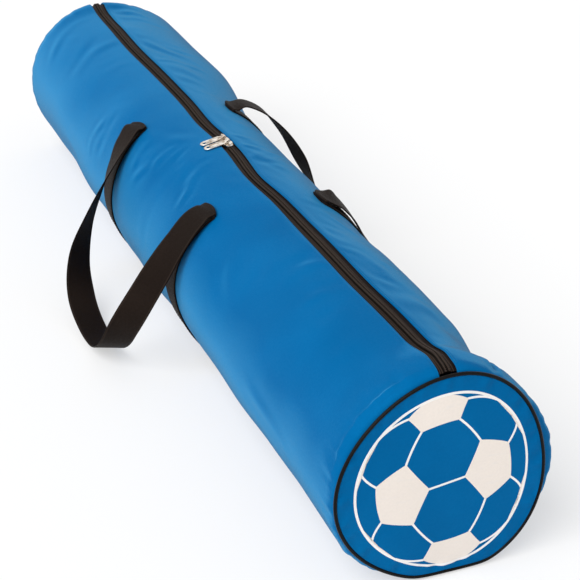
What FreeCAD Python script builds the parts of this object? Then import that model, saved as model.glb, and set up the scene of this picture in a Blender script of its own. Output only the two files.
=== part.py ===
import FreeCAD, Part
import math
import os
from FreeCAD import Vector

# A long tube-shaped carry bag. X runs along the bag, towards the printed end. Y runs across it and Z is up.
# The origin is under the middle of the bag, on the surface that it lies on.

# Driving sizes of the tube, in millimetres
bag_length = 1330.0
bag_radius = 120.0
flat_half_width = 24.0
fabric = 1.5
end_round_length = 42.0
seam_inset = 5.5
piping_radius = 2.5
binding_width = 11.0
binding_thick = 2.5
ring_sides = 64

# Mouth and zip
mouth_margin = 65.0
mouth_half_angle = 25.0
flap_tuck_angle = 5.0
flap_gap = 0.4
zip_show_width = 19.0
tape_width = 17.0
tape_thick = 0.8
coil_width = 3.2
coil_height = 3.2
coil_gap = 0.4
facing_width = 26.0

# Sliders and pull tabs
slider_length = 19.0
slider_width = 13.4
slider_plate = 1.6
slider_taper = 0.72
slider_chamfer = 0.35
slider_spacing = 0.6
wedge_width = 3.0
wedge_length = 7.0
run_clearance = 0.3
bridge_bar_radius = 1.2
bridge_bend_radius = 1.45
bridge_inset = 2.0
tab_length = 33.0
tab_width = 12.0
tab_thick = 1.6
tab_eye_wall = 1.1
tab_eye_length = 7.0
tab_neck_length = 1.65
tab_slot_length = 5.0
tab_slot_width = 3.4
tab_hole_radius = 2.6
tab_rest_angle = 12.0
tab_from_head = 7.5

# Handles and the bands that they are sewn to
webbing_width = 38.0
webbing_thick = 2.0
handle_half_span = 152.0
near_band_skew = 0.27
left_fold_angle = 35.0
right_fold_angle = 27.0
leave_angle = 62.0
handle_gap = 0.5
handle_tip_shift = 42.0
handle_floor_gap = 0.3
fold_straight = 14.0
seat_gap = 0.1

# Football figure printed on the near end
ball_margin = 12.0
ball_line_width = 2.4
ball_turn = 10.0
ball_rim_cut = 0.02
seam_steps = 2
print_thick = 0.4

# Sizes that follow from those above
half_length = bag_length / 2
mouth_half = half_length - mouth_margin
axis_height = math.sqrt(bag_radius ** 2 - flat_half_width ** 2)
tube_end = half_length - 2 * piping_radius
round_start = half_length - end_round_length
seam_radius = bag_radius - seam_inset
end_radius = seam_radius + fabric / 2
ball_radius = seam_radius - piping_radius - ball_margin
round_run = tube_end - round_start
round_drop = bag_radius - end_radius
round_radius = (round_run ** 2 + round_drop ** 2) / (2 * round_drop)
groove_depth = webbing_thick + seat_gap
far_out = 2 * bag_radius
flap_top = -fabric - flap_gap
flap_bottom = flap_top - fabric
tape_top = flap_bottom - seat_gap
tape_bottom = tape_top - tape_thick
coil_bottom = tape_top + seat_gap / 2
coil_top = coil_bottom + coil_height
fold_radius = bag_radius + seat_gap + webbing_thick + handle_gap + webbing_thick / 2
left_fold_y = -fold_radius * math.sin(math.radians(left_fold_angle))
right_fold_y = fold_radius * math.sin(math.radians(right_fold_angle))


def angle_of(width):
    """Angle about the tube's axis, in degrees, of a width measured round it."""
    return math.degrees(width / bag_radius)


def on_tube(radius, angle):
    """Y and Z of the point at this radius and angle; 0 is the top and positive angles are towards +Y."""
    turn = math.radians(angle)
    return radius * math.sin(turn), axis_height + radius * math.cos(turn)


def box(x0, x1, y0, y1, z0, z1):
    return Part.makeBox(x1 - x0, y1 - y0, z1 - z0, Vector(x0, y0, z0))


def tube_form(level, floor):
    """The bag's outer form moved out by level and cut off flat at the height floor."""
    centre_radius = bag_radius - round_radius
    turn_radius = round_radius + level

    def radius_at(run):
        return centre_radius + math.sqrt(turn_radius ** 2 - run ** 2)

    def point(x, radius):
        return Vector(x, 0, axis_height + radius)

    right = [point(round_start + run, radius_at(run)) for run in (0, round_run / 2, round_run)]
    right.append(point(tube_end, 0))
    left = [Vector(-p.x, p.y, p.z) for p in reversed(right)]
    outline = Part.makePolygon(left + right + left[:1])
    form = Part.Face(outline).revolve(Vector(0, 0, axis_height), Vector(1, 0, 0), 360)
    below = box(-bag_length, bag_length, -far_out, far_out, -far_out, floor)
    return form.cut(below)


def wedge(start, end, x0, x1):
    """A prism along X that takes in the angles from start to end about the tube's axis."""
    steps = max(2, math.ceil(abs(end - start) / 30))
    points = [Vector(x0, 0, axis_height)]
    for i in range(steps + 1):
        y, z = on_tube(far_out, start + (end - start) * i / steps)
        points.append(Vector(x0, y, z))
    return Part.Face(Part.makePolygon(points + points[:1])).extrude(Vector(x1 - x0, 0, 0))


def skin(low, high, start, end, x0, x1):
    """A curved strip of the tube between two levels, two angles and two stations."""
    shell = tube_form(high, 0).cut(tube_form(low, 0))
    return shell.common(wedge(start, end, x0, x1))


def mirrored(shape):
    """The same shape on the other side of the bag."""
    return shape.mirror(Vector(0, 0, 0), Vector(0, 1, 0))


def turned_end(shape):
    """The same shape at the far end of the bag."""
    return shape.mirror(Vector(0, 0, 0), Vector(1, 0, 0))


def band_x(skew, y):
    """Station of a band's middle at this Y. The near band lies askew on the bag, the far one straight."""
    return handle_half_span + skew * (y - left_fold_y)


def band_slab(skew, half, z0, z1):
    """A slab across the bag that takes in a near band, half as wide as the band's own width plus room."""
    corners = [Vector(band_x(skew, y) + side * half, y, z0)
               for side, y in ((-1, -far_out), (1, -far_out), (1, far_out), (-1, far_out))]
    return Part.Face(Part.makePolygon(corners + corners[:1])).extrude(Vector(0, 0, z1 - z0))


def body_panel():
    """The main fabric: a thin tube, open at the mouth, with shallow grooves where the bands pass under it."""
    outer = tube_form(0, 0)
    inner = tube_form(-fabric, fabric)
    reach = webbing_width / 2 + seat_gap
    grooves = [band_slab(near_band_skew, reach, -fabric, groove_depth),
               turned_end(band_slab(0, reach, -fabric, groove_depth))]
    reach += fabric
    ridges = [band_slab(near_band_skew, reach, 0, groove_depth + fabric),
              turned_end(band_slab(0, reach, 0, groove_depth + fabric))]
    outer = outer.cut(grooves)
    inner = inner.cut(ridges)
    panel = outer.cut(inner)
    slot_angle = angle_of(zip_show_width / 2)
    panel = panel.cut(wedge(-slot_angle, slot_angle, -bag_length, bag_length))
    return panel.cut(wedge(-mouth_half_angle, mouth_half_angle, -mouth_half, mouth_half))


def turned(profile):
    """A solid turned about the tube's axis from pairs of station and radius, with ring_sides equal sides."""
    wires = []
    for x, radius in profile:
        points = [Vector(x, *on_tube(radius, 360 * i / ring_sides)) for i in range(ring_sides)]
        wires.append(Part.makePolygon(points + points[:1]))
    return Part.makeLoft(wires, True, True)


def flat_ring(x, thick, outer, inner):
    """A flat ring across the bag, from station x on."""
    ring = turned([(x, outer), (x + thick, outer)])
    return ring.cut(turned([(x, inner), (x + thick, inner)]))


def end_disc():
    x = half_length - piping_radius - fabric / 2
    disc_radius = seam_radius - piping_radius
    return turned([(x, disc_radius), (x + fabric, disc_radius)])


def end_piping():
    """The bead in the end seam. Its section has eight sides, one of them flat against the panel's edge."""
    x = half_length - piping_radius
    corner = piping_radius * math.tan(math.pi / 8)
    outer = [(x - piping_radius, seam_radius + corner), (x - corner, seam_radius + piping_radius),
             (x + corner, seam_radius + piping_radius), (x + piping_radius, seam_radius + corner)]
    inner = [(station, 2 * seam_radius - radius) for station, radius in outer]
    return turned(outer).cut(turned(inner))


def seam_binding():
    """The tape that covers the raw edges of the end seam, inside the bag."""
    outer = seam_radius - piping_radius - seat_gap
    x = half_length - piping_radius - fabric / 2 - binding_thick
    return flat_ring(x, binding_thick, outer, outer - binding_width)


def mouth_flap():
    """The right edge of the mouth. It lies under the panel's edge and slides round under it."""
    start = angle_of(zip_show_width / 2)
    end = mouth_half_angle + flap_tuck_angle
    reach = mouth_half - flap_gap
    return skin(flap_bottom, flap_top, start, end, -reach, reach)


def tape_strip(x0, x1):
    start = angle_of(coil_gap / 2)
    return skin(tape_bottom, tape_top, start, start + angle_of(tape_width), x0, x1)


def coil_strip(x0, x1):
    start = angle_of(coil_gap / 2)
    return skin(coil_bottom, coil_top, start, start + angle_of(coil_width), x0, x1)


def facing_strip(x0, x1):
    """The turned-in edge of the panel that a fixed stretch of tape is sewn to."""
    start = angle_of(zip_show_width / 2)
    return skin(flap_bottom, -fabric - seat_gap / 2, start, start + angle_of(facing_width), x0, x1)


def slider_levels():
    """Heights of the lower plate's top, the upper plate's underside and the bridge bar's centre."""
    sag = bag_radius - math.sqrt(bag_radius ** 2 - (slider_width / 2) ** 2)
    lower = axis_height + bag_radius + tape_bottom - sag - run_clearance
    upper = axis_height + bag_radius + coil_top + run_clearance
    bar = upper + slider_plate + run_clearance + tab_eye_wall + run_clearance + bridge_bar_radius
    return lower, upper, bar


def spreader(grow):
    """The diamond between a slider's plates that parts the two coils, grown by a clearance."""
    lower, upper = slider_levels()[:2]
    x0 = slider_spacing / 2
    half = wedge_width / 2 + grow
    points = [Vector(x0 - grow, -half / 2, lower), Vector(x0 + wedge_length / 2, -half, lower),
              Vector(x0 + wedge_length + grow, 0, lower), Vector(x0 + wedge_length / 2, half, lower),
              Vector(x0 - grow, half / 2, lower)]
    return Part.Face(Part.makePolygon(points + points[:1])).extrude(Vector(0, 0, upper - lower))


def moving_strip(strip):
    """A zip strip along the mouth, spread where the sliders' diamonds stand between the coils."""
    reach = mouth_half - flap_gap
    spread = spreader(run_clearance)
    return strip(-reach, reach).cut(spread).cut(turned_end(spread))


def zip_end(strip):
    """The two fixed strips past the near end of the mouth."""
    piece = strip(mouth_half, tube_end - fabric)
    return Part.makeCompound([piece, mirrored(piece)])


def slider_plate_at(z, height):
    """A slider plate seen from above: broad at the head, narrower at the tail, with a round tail end."""
    x0 = slider_spacing / 2
    x1 = x0 + slider_length
    head = slider_width / 2
    tail = head * slider_taper
    chamfer = head * slider_chamfer
    waist = x0 + wedge_length
    left = [Vector(x0, head - chamfer, z), Vector(x0 + chamfer, head, z), Vector(waist, head, z),
            Vector(x1 - tail, tail, z)]
    right = [Vector(p.x, -p.y, z) for p in reversed(left)]
    edges = [Part.makeLine(a, b) for a, b in zip(left, left[1:])]
    edges.append(Part.Arc(left[-1], Vector(x1, 0, z), right[0]).toShape())
    edges += [Part.makeLine(a, b) for a, b in zip(right, right[1:])]
    edges.append(Part.makeLine(right[-1], left[0]))
    return Part.Face(Part.Wire(edges)).extrude(Vector(0, 0, height))


def slider():
    """The near slider: two plates, side flanges that hold the coils in, the spreader and the bridge."""
    lower, upper, bar = slider_levels()
    tape_clear = axis_height + bag_radius + tape_top + run_clearance
    channel = coil_gap / 2 + coil_width + run_clearance
    flanges = slider_plate_at(tape_clear, upper - tape_clear)
    flanges = flanges.cut(box(0, slider_length * 2, -channel, channel, tape_clear - 1, upper + 1))
    body = slider_plate_at(lower - slider_plate, slider_plate).fuse(slider_plate_at(upper, slider_plate))
    body = body.fuse([flanges, spreader(0), bridge(upper + slider_plate / 2, bar)])
    return body.removeSplitter()


def bridge(foot, bar):
    """A cast arch along the slider, square in section: two feet, two bends and the bar that the tab turns on."""
    x0 = slider_spacing / 2 + bridge_inset
    x1 = slider_spacing / 2 + slider_length - bridge_inset
    half = bridge_bar_radius * math.sqrt(0.5)
    bend = bridge_bend_radius
    arch = box(x0 - half, x1 + half, -half, half, foot, bar + half)
    window = box(x0 + half, x1 - half, -half, half, foot, bar - half)
    corners = [e for e in arch.Edges if e.Vertexes[0].Z > bar and e.Vertexes[1].Z > bar
               and abs(e.Vertexes[0].Y - e.Vertexes[1].Y) > half]
    return arch.makeFillet(bend + half, corners).cut(window)


def pull_tab():
    """The near tab: a flat plate with a slot and a hole, and an eye that turns on the bridge's bar."""
    bar = slider_levels()[2]
    middle = slider_spacing / 2 + tab_from_head
    neck = tab_eye_length / 2
    half = tab_width / 2
    eye_radius = bridge_bar_radius + run_clearance + tab_eye_wall
    shoulder = -eye_radius - tab_neck_length
    belly = shoulder - (half - neck)
    tip = -tab_length
    left = [(-neck, 0), (-neck, shoulder), (-half, belly), (-half, tip + half)]
    z = bar - tab_thick / 2
    left = [Vector(middle + x, y, z) for x, y in left]
    right = [Vector(2 * middle - p.x, p.y, z) for p in reversed(left)]
    edges = [Part.makeLine(a, b) for a, b in zip(left, left[1:])]
    edges.append(Part.Arc(left[-1], Vector(middle, tip, z), right[0]).toShape())
    edges += [Part.makeLine(a, b) for a, b in zip(right, right[1:])]
    edges.append(Part.makeLine(right[-1], left[0]))
    plate = Part.Face(Part.Wire(edges)).extrude(Vector(0, 0, tab_thick))
    across = Vector(1, 0, 0)
    eye = Part.makeCylinder(eye_radius, tab_eye_length, Vector(middle - neck, 0, bar), across)
    bore = Part.makeCylinder(bridge_bar_radius + run_clearance, 2 * tab_width,
                             Vector(middle - tab_width, 0, bar), across)
    hole = Part.makeCylinder(tab_hole_radius, 3 * tab_thick,
                             Vector(middle, tip + half, z - tab_thick), Vector(0, 0, 1))
    slot_y = shoulder - tab_slot_width
    slot = box(middle - tab_slot_length / 2, middle + tab_slot_length / 2,
               slot_y, slot_y + tab_slot_width, z - tab_thick, z + 2 * tab_thick)
    tab = plate.fuse(eye).cut([bore, hole, slot])
    tab.rotate(Vector(middle, 0, bar), across, tab_rest_angle)
    return tab


def girth_band(skew):
    """Webbing sewn round the bag at the near station, from the fold on one side to the fold on the other."""
    ring = tube_form(seat_gap + webbing_thick, 0).cut(tube_form(seat_gap, webbing_thick))
    ring = ring.common(wedge(right_fold_angle, 360 - left_fold_angle, 0, half_length))
    return ring.common(band_slab(skew, webbing_width / 2, -webbing_thick, 2 * far_out))


def handle_sheet(fold_angle):
    """The curved sheet that a right handle is cut from: round the bag from its fold, then straight down."""
    half = webbing_thick / 2
    run = far_out
    turn = math.radians(leave_angle)

    def at(level, angle):
        y, z = on_tube(fold_radius + level, angle)
        return Vector(-far_out, y, z)

    def past(level):
        return at(level, leave_angle) + Vector(0, run * math.cos(turn), -run * math.sin(turn))

    middle = (fold_angle + leave_angle) / 2
    start = math.radians(fold_angle)
    cap = at(0, fold_angle) - Vector(0, half * math.cos(start), -half * math.sin(start))
    edges = [Part.Arc(at(half, fold_angle), at(half, middle), at(half, leave_angle)).toShape(),
             Part.makeLine(at(half, leave_angle), past(half)),
             Part.makeLine(past(half), past(-half)),
             Part.makeLine(past(-half), at(-half, leave_angle)),
             Part.Arc(at(-half, leave_angle), at(-half, middle), at(-half, fold_angle)).toShape(),
             Part.Arc(at(-half, fold_angle), cap, at(half, fold_angle)).toShape()]
    sheet = Part.Face(Part.Wire(edges)).extrude(Vector(2 * far_out, 0, 0))
    below = box(-2 * far_out, 2 * far_out, 0, 3 * far_out, -3 * far_out, handle_floor_gap)
    return sheet.cut(below)


def handle(fold_angle, near_x):
    """A handle on the right: two webbing legs, the near one from near_x, that run to one tip on the floor."""
    half = webbing_width / 2
    fold_z = on_tube(fold_radius, fold_angle)[1]
    tip = Vector(handle_tip_shift, 0, handle_floor_gap + half)
    depth = Vector(0, 2 * far_out, 0)
    outline = Part.Face(Part.Wire(Part.makeCircle(half, tip, Vector(0, -1, 0)))).extrude(depth)
    for x in (-handle_half_span, near_x):
        top = Vector(x, 0, fold_z - fold_straight / 2)
        along = (tip - top).normalize()
        side = Vector(along.z, 0, -along.x) * half
        corners = [top + side, top - side, tip - side, tip + side]
        outline = outline.fuse(Part.Face(Part.makePolygon(corners + corners[:1])).extrude(depth))
        outline = outline.fuse(box(x - half, x + half, 0, 2 * far_out,
                                   fold_z - fold_straight, fold_z + webbing_thick))
    return handle_sheet(fold_angle).common(outline).removeSplitter()


def ball_corners():
    """The 60 corners of a truncated icosahedron, as unit vectors, with an edge in the middle of the view."""
    golden = (1 + math.sqrt(5)) / 2
    corners = set()
    for base in ((0, 1, 3 * golden), (1, 2 + golden, 2 * golden), (golden, 2, 2 * golden + 1)):
        for turn in range(3):
            x, y, z = base[turn:] + base[:turn]
            for sx in (-1, 1):
                for sy in (-1, 1):
                    for sz in (-1, 1):
                        corners.add((round(sx * x, 9), round(sy * y, 9), round(sz * z, 9)))
    return [Vector(*c).normalize() for c in sorted(corners)]


def flat_point(v, x):
    """Where a point of the ball is drawn: seen straight on, turned a little, and kept inside the outline."""
    reach = math.hypot(v.x, v.y)
    scale = ball_radius / (reach if v.z < 0 else 1)
    turn = math.radians(ball_turn)
    right, up = v.y * scale, -v.x * scale
    return Vector(x, right * math.cos(turn) - up * math.sin(turn),
                  axis_height + right * math.sin(turn) + up * math.cos(turn))


def arc_points(a, b, steps):
    """Points from a to b along the great circle between them."""
    return [(a * (1 - i / steps) + b * (i / steps)).normalize() for i in range(steps + 1)]


def football_print():
    """A football figure: an outline ring, filled five-sided patches and seam lines, as one thin layer."""
    x = half_length - piping_radius + fabric / 2
    depth = Vector(print_thick, 0, 0)
    corners = ball_corners()
    edge = min((corners[0] - b).Length for b in corners[1:])
    pieces = []
    for patch_centre in patch_centres():
        ring = sorted(corners, key=lambda c: (c - patch_centre).Length)[:5]
        if max(c.z for c in ring) < ball_rim_cut:
            continue
        side = (ring[0] - patch_centre * ring[0].dot(patch_centre)).normalize()
        other = patch_centre.cross(side)
        ring.sort(key=lambda c: math.atan2(c.dot(other), c.dot(side)))
        points = []
        for a, b in zip(ring, ring[1:] + ring[:1]):
            points += [flat_point(v, x) for v in arc_points(a, b, seam_steps)[:-1]]
        pieces.append(Part.Face(Part.makePolygon(points + points[:1])).extrude(depth))
    for i, a in enumerate(corners):
        for b in corners[i + 1:]:
            if math.isclose((a - b).Length, edge, rel_tol=1e-6) and max(a.z, b.z) > ball_rim_cut:
                pieces += line_pieces([flat_point(v, x) for v in arc_points(a, b, seam_steps)], depth)
    ring = flat_ring(x, print_thick, ball_radius + ball_line_width / 2, ball_radius - ball_line_width / 2)
    return ring.multiFuse(pieces).removeSplitter()


def patch_centres():
    """The 12 middles of the five-sided patches, as unit vectors."""
    golden = (1 + math.sqrt(5)) / 2
    middles = []
    for s in (-1, 1):
        for g in (-golden, golden):
            middles += [Vector(0, s, g), Vector(s, g, 0), Vector(g, 0, s)]
    return [m.normalize() for m in middles]


def line_pieces(points, depth):
    """Thin bars between points in a plane across the bag."""
    bars = []
    for a, b in zip(points, points[1:]):
        if (b - a).Length < ball_line_width / 2:
            continue
        side = (b - a).cross(Vector(1, 0, 0)).normalize() * (ball_line_width / 2)
        along = (b - a).normalize() * (ball_line_width / 4)
        corners = [a - along + side, a - along - side, b + along - side, b + along + side]
        bars.append(Part.Face(Part.makePolygon(corners + corners[:1])).extrude(depth))
    return bars


def nodes():
    """Every separate piece of the bag, by name."""
    parts = {"body_panel": body_panel(), "football_print": football_print()}
    ends = {"end_disc": end_disc(), "end_piping": end_piping(), "seam_binding": seam_binding(),
            "zip_end_tape": zip_end(tape_strip), "zip_end_coil": zip_end(coil_strip),
            "zip_end_facing": zip_end(facing_strip), "slider": slider(), "pull_tab": pull_tab()}
    for name, shape in ends.items():
        parts["near_" + name] = shape
        parts["far_" + name] = turned_end(shape)
    sides = {"mouth_flap": mouth_flap(), "zip_tape": moving_strip(tape_strip),
             "zip_coil": moving_strip(coil_strip)}
    for name, shape in sides.items():
        parts["right_" + name] = shape
        parts["left_" + name] = mirrored(shape)
    parts["near_girth_band"] = girth_band(near_band_skew)
    parts["far_girth_band"] = turned_end(girth_band(0))
    parts["left_handle"] = mirrored(handle(left_fold_angle, handle_half_span))
    parts["right_handle"] = handle(right_fold_angle, band_x(near_band_skew, right_fold_y))
    return parts


os.makedirs("parts", exist_ok=True)
for node_name, node_shape in nodes().items():
    node_shape.exportStep("parts/" + node_name + ".step")
print("axis height", round(axis_height, 3), "pull tab axis height", round(slider_levels()[2], 3))
for fold_name, fold in (("left", left_fold_angle), ("right", right_fold_angle)):
    print(fold_name, "handle fold at", [round(v, 3) for v in on_tube(fold_radius, fold)])
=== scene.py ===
import math
import bpy
import numpy as np
from mathutils import Matrix, Vector


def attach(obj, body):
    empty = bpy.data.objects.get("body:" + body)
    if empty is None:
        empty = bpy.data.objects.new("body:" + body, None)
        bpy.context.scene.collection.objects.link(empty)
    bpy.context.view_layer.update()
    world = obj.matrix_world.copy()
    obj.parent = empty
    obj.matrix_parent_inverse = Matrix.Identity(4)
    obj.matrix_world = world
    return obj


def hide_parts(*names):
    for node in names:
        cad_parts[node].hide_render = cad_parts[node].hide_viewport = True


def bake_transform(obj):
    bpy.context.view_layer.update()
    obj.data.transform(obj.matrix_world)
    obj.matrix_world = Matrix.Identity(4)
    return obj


# A long carry bag lying on a pale floor, in metres.
# X runs along the bag to its printed end, Y across it to the right and Z up.
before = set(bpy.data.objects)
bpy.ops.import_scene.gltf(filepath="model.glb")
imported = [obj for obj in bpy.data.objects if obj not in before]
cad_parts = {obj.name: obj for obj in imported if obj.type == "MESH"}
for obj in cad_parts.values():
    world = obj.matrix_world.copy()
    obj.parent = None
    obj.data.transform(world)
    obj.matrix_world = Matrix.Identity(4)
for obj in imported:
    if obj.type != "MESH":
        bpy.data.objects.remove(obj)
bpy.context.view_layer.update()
scene = bpy.context.scene
print("frame loaded:", len(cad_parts), "nodes")

# camera, as the picture was taken
shot = {"place": (1.93772, -0.65265, 1.05673), "right": (0.36085, 0.93259, -0.00802),
        "up": (-0.41947, 0.16998, 0.89171), "ahead": (-0.83296, 0.31842, -0.45253),
        "lens": 104.2, "sensor": 36, "sees": 100}
lensData = bpy.data.cameras.new("shotCamera")
lensData.sensor_width = shot["sensor"]
lensData.lens = shot["lens"]
lensData.clip_end = shot["sees"]
shotCamera = bpy.data.objects.new("shotCamera", lensData)
scene.collection.objects.link(shotCamera)
turn = Matrix([shot["right"], shot["up"], [-c for c in shot["ahead"]]]).transposed().to_4x4()
shotCamera.matrix_world = Matrix.Translation(shot["place"]) @ turn
scene.camera = shotCamera
print("camera set")


# small sums that every piece uses
def rise(low, high, v):
    # smoothstep: 0 below low, 1 above high, 3t^2 - 2t^3 between
    t = np.clip((v - low) / (high - low), 0, 1)
    return t * t * (3 - 2 * t)


def bell(v, middle, width):
    # e^-((v - middle) / width)^2
    return np.exp(-((v - middle) / width) ** 2)


def humps(v, bells, rises):
    # the sum of bells (middle, width, by) and rises (from, to, by)
    return (sum(by * bell(v, middle, width) for middle, width, by in bells)
            + sum(by * rise(low, high, v) for low, high, by in rises))


def unit(v):
    # each vector over its own length
    return v / np.maximum(np.linalg.norm(v, axis=-1, keepdims=True), 1e-12)


def ringAngles(count):
    # equal steps once round, from 0
    return np.arange(count) / count * 2 * math.pi


def paired(a, b):
    # two arrays spread over one grid, as pairs
    return np.stack(np.broadcast_arrays(a, b), -1)


def runLength(points):
    # how far along its line each point lies
    return np.concatenate([[0], np.cumsum(np.linalg.norm(np.diff(points, axis=0), axis=1))])


def makePiece(name, points, faces, finish, mapped=None, crease=35):
    # a mesh object at the origin; mapped is one pair of cloth coordinates per point, in metres
    mesh = bpy.data.meshes.new(name)
    mesh.from_pydata(np.asarray(points, float).reshape(-1, 3).tolist(), [], faces)
    if mapped is not None:
        layer = mesh.uv_layers.new(name="clothMap")
        corner = np.empty(len(mesh.loops), np.int32)
        mesh.loops.foreach_get("vertex_index", corner)
        layer.data.foreach_set("uv", np.asarray(mapped, np.float32).reshape(-1, 2)[corner].ravel())
    mesh.materials.append(finish)
    mesh.shade_smooth()
    mesh.set_sharp_from_angle(angle=math.radians(crease))
    mesh.update()
    piece = bpy.data.objects.new(name, mesh)
    scene.collection.objects.link(piece)
    return piece


def gridFaces(rows, cols, wrapCols=False, flip=False, first=0):
    # quads over a grid of points stored row by row
    index = np.arange(rows * cols).reshape(rows, cols) + first
    if wrapCols:
        index = np.concatenate([index, index[:, :1]], 1)
    quads = np.stack([index[:-1, :-1], index[1:, :-1], index[1:, 1:], index[:-1, 1:]], -1).reshape(-1, 4)
    return (quads[:, ::-1] if flip else quads).tolist()


def sheetShell(name, outer, inner, finish, mapped):
    # a closed thin shell: the outer grid, the inner grid turned round, and a rim between their edges
    rows, cols = outer.shape[:2]
    count = rows * cols
    a = outer[rows // 2 + 1, cols // 2] - outer[rows // 2, cols // 2]
    b = outer[rows // 2, cols // 2 + 1] - outer[rows // 2, cols // 2]
    flip = np.dot(np.cross(a, b), (outer - inner)[rows // 2, cols // 2]) < 0
    index = np.arange(count).reshape(rows, cols)
    edge = np.concatenate([index[:-1, 0], index[-1, :-1], index[:0:-1, -1], index[0, :0:-1]])
    after = np.roll(edge, -1)
    rim = np.stack([after, edge, edge + count, after + count], -1)
    rim = (rim[:, ::-1] if flip else rim).tolist()
    faces = gridFaces(rows, cols, flip=flip) + gridFaces(rows, cols, flip=not flip, first=count) + rim
    points = np.concatenate([outer.reshape(-1, 3), inner.reshape(-1, 3)])
    return makePiece(name, points, faces, finish, np.concatenate([mapped.reshape(-1, 2)] * 2))


def tubeSolid(name, rings, finish, mapped, crease=35):
    # a closed tube from rings of points, one ring per station, with a flat face on each end
    rows, cols = rings.shape[:2]
    middle = rows // 2
    way = rings[middle + 1].mean(0) - rings[middle].mean(0)
    out = rings[middle, 0] - rings[middle].mean(0)
    side = rings[middle, 1] - rings[middle, 0]
    flip = np.dot(np.cross(way, side), out) < 0
    faces = gridFaces(rows, cols, wrapCols=True, flip=flip)
    first, last = list(range(cols)), list(range((rows - 1) * cols, rows * cols))
    faces += [first if not flip else first[::-1], last[::-1] if not flip else last]
    return makePiece(name, rings, faces, finish, mapped, crease)


def smoothRun(values, place, at):
    # cubic Hermite curve through the values, its slope at each from the neighbours
    values, place, at = (np.asarray(v, float) for v in (values, place, at))
    slope = np.gradient(values, place, axis=0)
    i = np.clip(np.searchsorted(place, at, "right") - 1, 0, len(place) - 2)
    gap = (place[i + 1] - place[i])[:, None]
    t = ((at - place[i])[:, None]) / gap
    return ((2 * t ** 3 - 3 * t ** 2 + 1) * values[i] + (t ** 3 - 2 * t ** 2 + t) * gap * slope[i]
            + (3 * t ** 2 - 2 * t ** 3) * values[i + 1] + (t ** 3 - t ** 2) * gap * slope[i + 1])


# materials
class nodeMaker:
    # short hand for building a node tree: add a node, put a value or a link in a socket
    def __init__(self, tree):
        self.tree = tree

    def add(self, kind, **settings):
        node = self.tree.nodes.new(kind)
        for key, value in settings.items():
            setattr(node, key, value)
        return node

    def put(self, socket, value):
        if isinstance(value, bpy.types.NodeSocket):
            self.tree.links.new(value, socket)
        else:
            socket.default_value = value

    def math(self, kind, a, b=0.0, c=0.0):
        node = self.add("ShaderNodeMath", operation=kind)
        for i, value in enumerate((a, b, c)):
            self.put(node.inputs[i], value)
        return node.outputs[0]

    def mix(self, factor, a, b):
        node = self.add("ShaderNodeMix", data_type="RGBA", blend_type="MIX")
        for i, value in ((0, factor), (6, a), (7, b)):
            self.put(node.inputs[i], value)
        return node.outputs[2]

    def noise(self, vector, scale, detail=3.0, rough=0.5):
        node = self.add("ShaderNodeTexNoise")
        for key, value in (("Vector", vector), ("Scale", scale), ("Detail", detail), ("Roughness", rough)):
            self.put(node.inputs[key], value)
        return node.outputs[0]

    def ramp(self, value, low, high, outLow=0.0, outHigh=1.0):
        node = self.add("ShaderNodeMapRange", clamp=True)
        for i, v in enumerate((value, low, high, outLow, outHigh)):
            self.put(node.inputs[i], v)
        return node.outputs[0]

    def call(self, group, **values):
        node = self.add("ShaderNodeGroup", node_tree=group)
        for key, value in values.items():
            self.put(node.inputs[key], value)
        return node.outputs


def newGroup(name, inputs, outputs):
    # a shader group with its inputs (label, kind, value) and outputs (label, kind)
    group = bpy.data.node_groups.new(name, "ShaderNodeTree")
    for label, kind, value in inputs:
        socket = group.interface.new_socket(name=label, in_out="INPUT", socket_type=kind)
        if value is not None:
            socket.default_value = value
    for label, kind in outputs:
        group.interface.new_socket(name=label, in_out="OUTPUT", socket_type=kind)
    n = nodeMaker(group)
    return group, n, n.add("NodeGroupInput").outputs, n.add("NodeGroupOutput").inputs


vectorKind, colourKind, valueKind = "NodeSocketVector", "NodeSocketColor", "NodeSocketFloat"


def weaveGroup():
    # plain weave: with S = sin(pi u) sin(pi v),
    # height = max(|sin(pi u)| (1 + S) / 2, |sin(pi v)| (1 - S) / 2)
    inputs = [("Vector", vectorKind, None), ("Pitch", valueKind, 0.0005)]
    outputs = [("Height", valueKind), ("Thread", valueKind)]
    group, n, into, out = newGroup("plainWeave", inputs, outputs)
    split = n.add("ShaderNodeSeparateXYZ")
    n.put(split.inputs[0], into["Vector"])
    waves = []
    for axis in (0, 1):
        turnOf = n.math("MULTIPLY", n.math("DIVIDE", split.outputs[axis], into["Pitch"]), math.pi)
        waves.append(n.math("SINE", turnOf))
    over = n.math("MULTIPLY", waves[0], waves[1])
    warp = n.math("MULTIPLY", n.math("ABSOLUTE", waves[0]), n.math("MULTIPLY_ADD", over, 0.5, 0.5))
    weft = n.math("MULTIPLY", n.math("ABSOLUTE", waves[1]), n.math("MULTIPLY_ADD", over, -0.5, 0.5))
    n.put(out["Height"], n.math("MAXIMUM", warp, weft))
    n.put(out["Thread"], n.ramp(over, -0.6, 0.6))
    return group


toneSteps = {"broad": 9.0, "fine": 330.0, "dark": (0.55, 0.25), "pale": (0.5, 0.78), "speck": (0.35, 0.7),
             "speckShare": 0.60}


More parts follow.
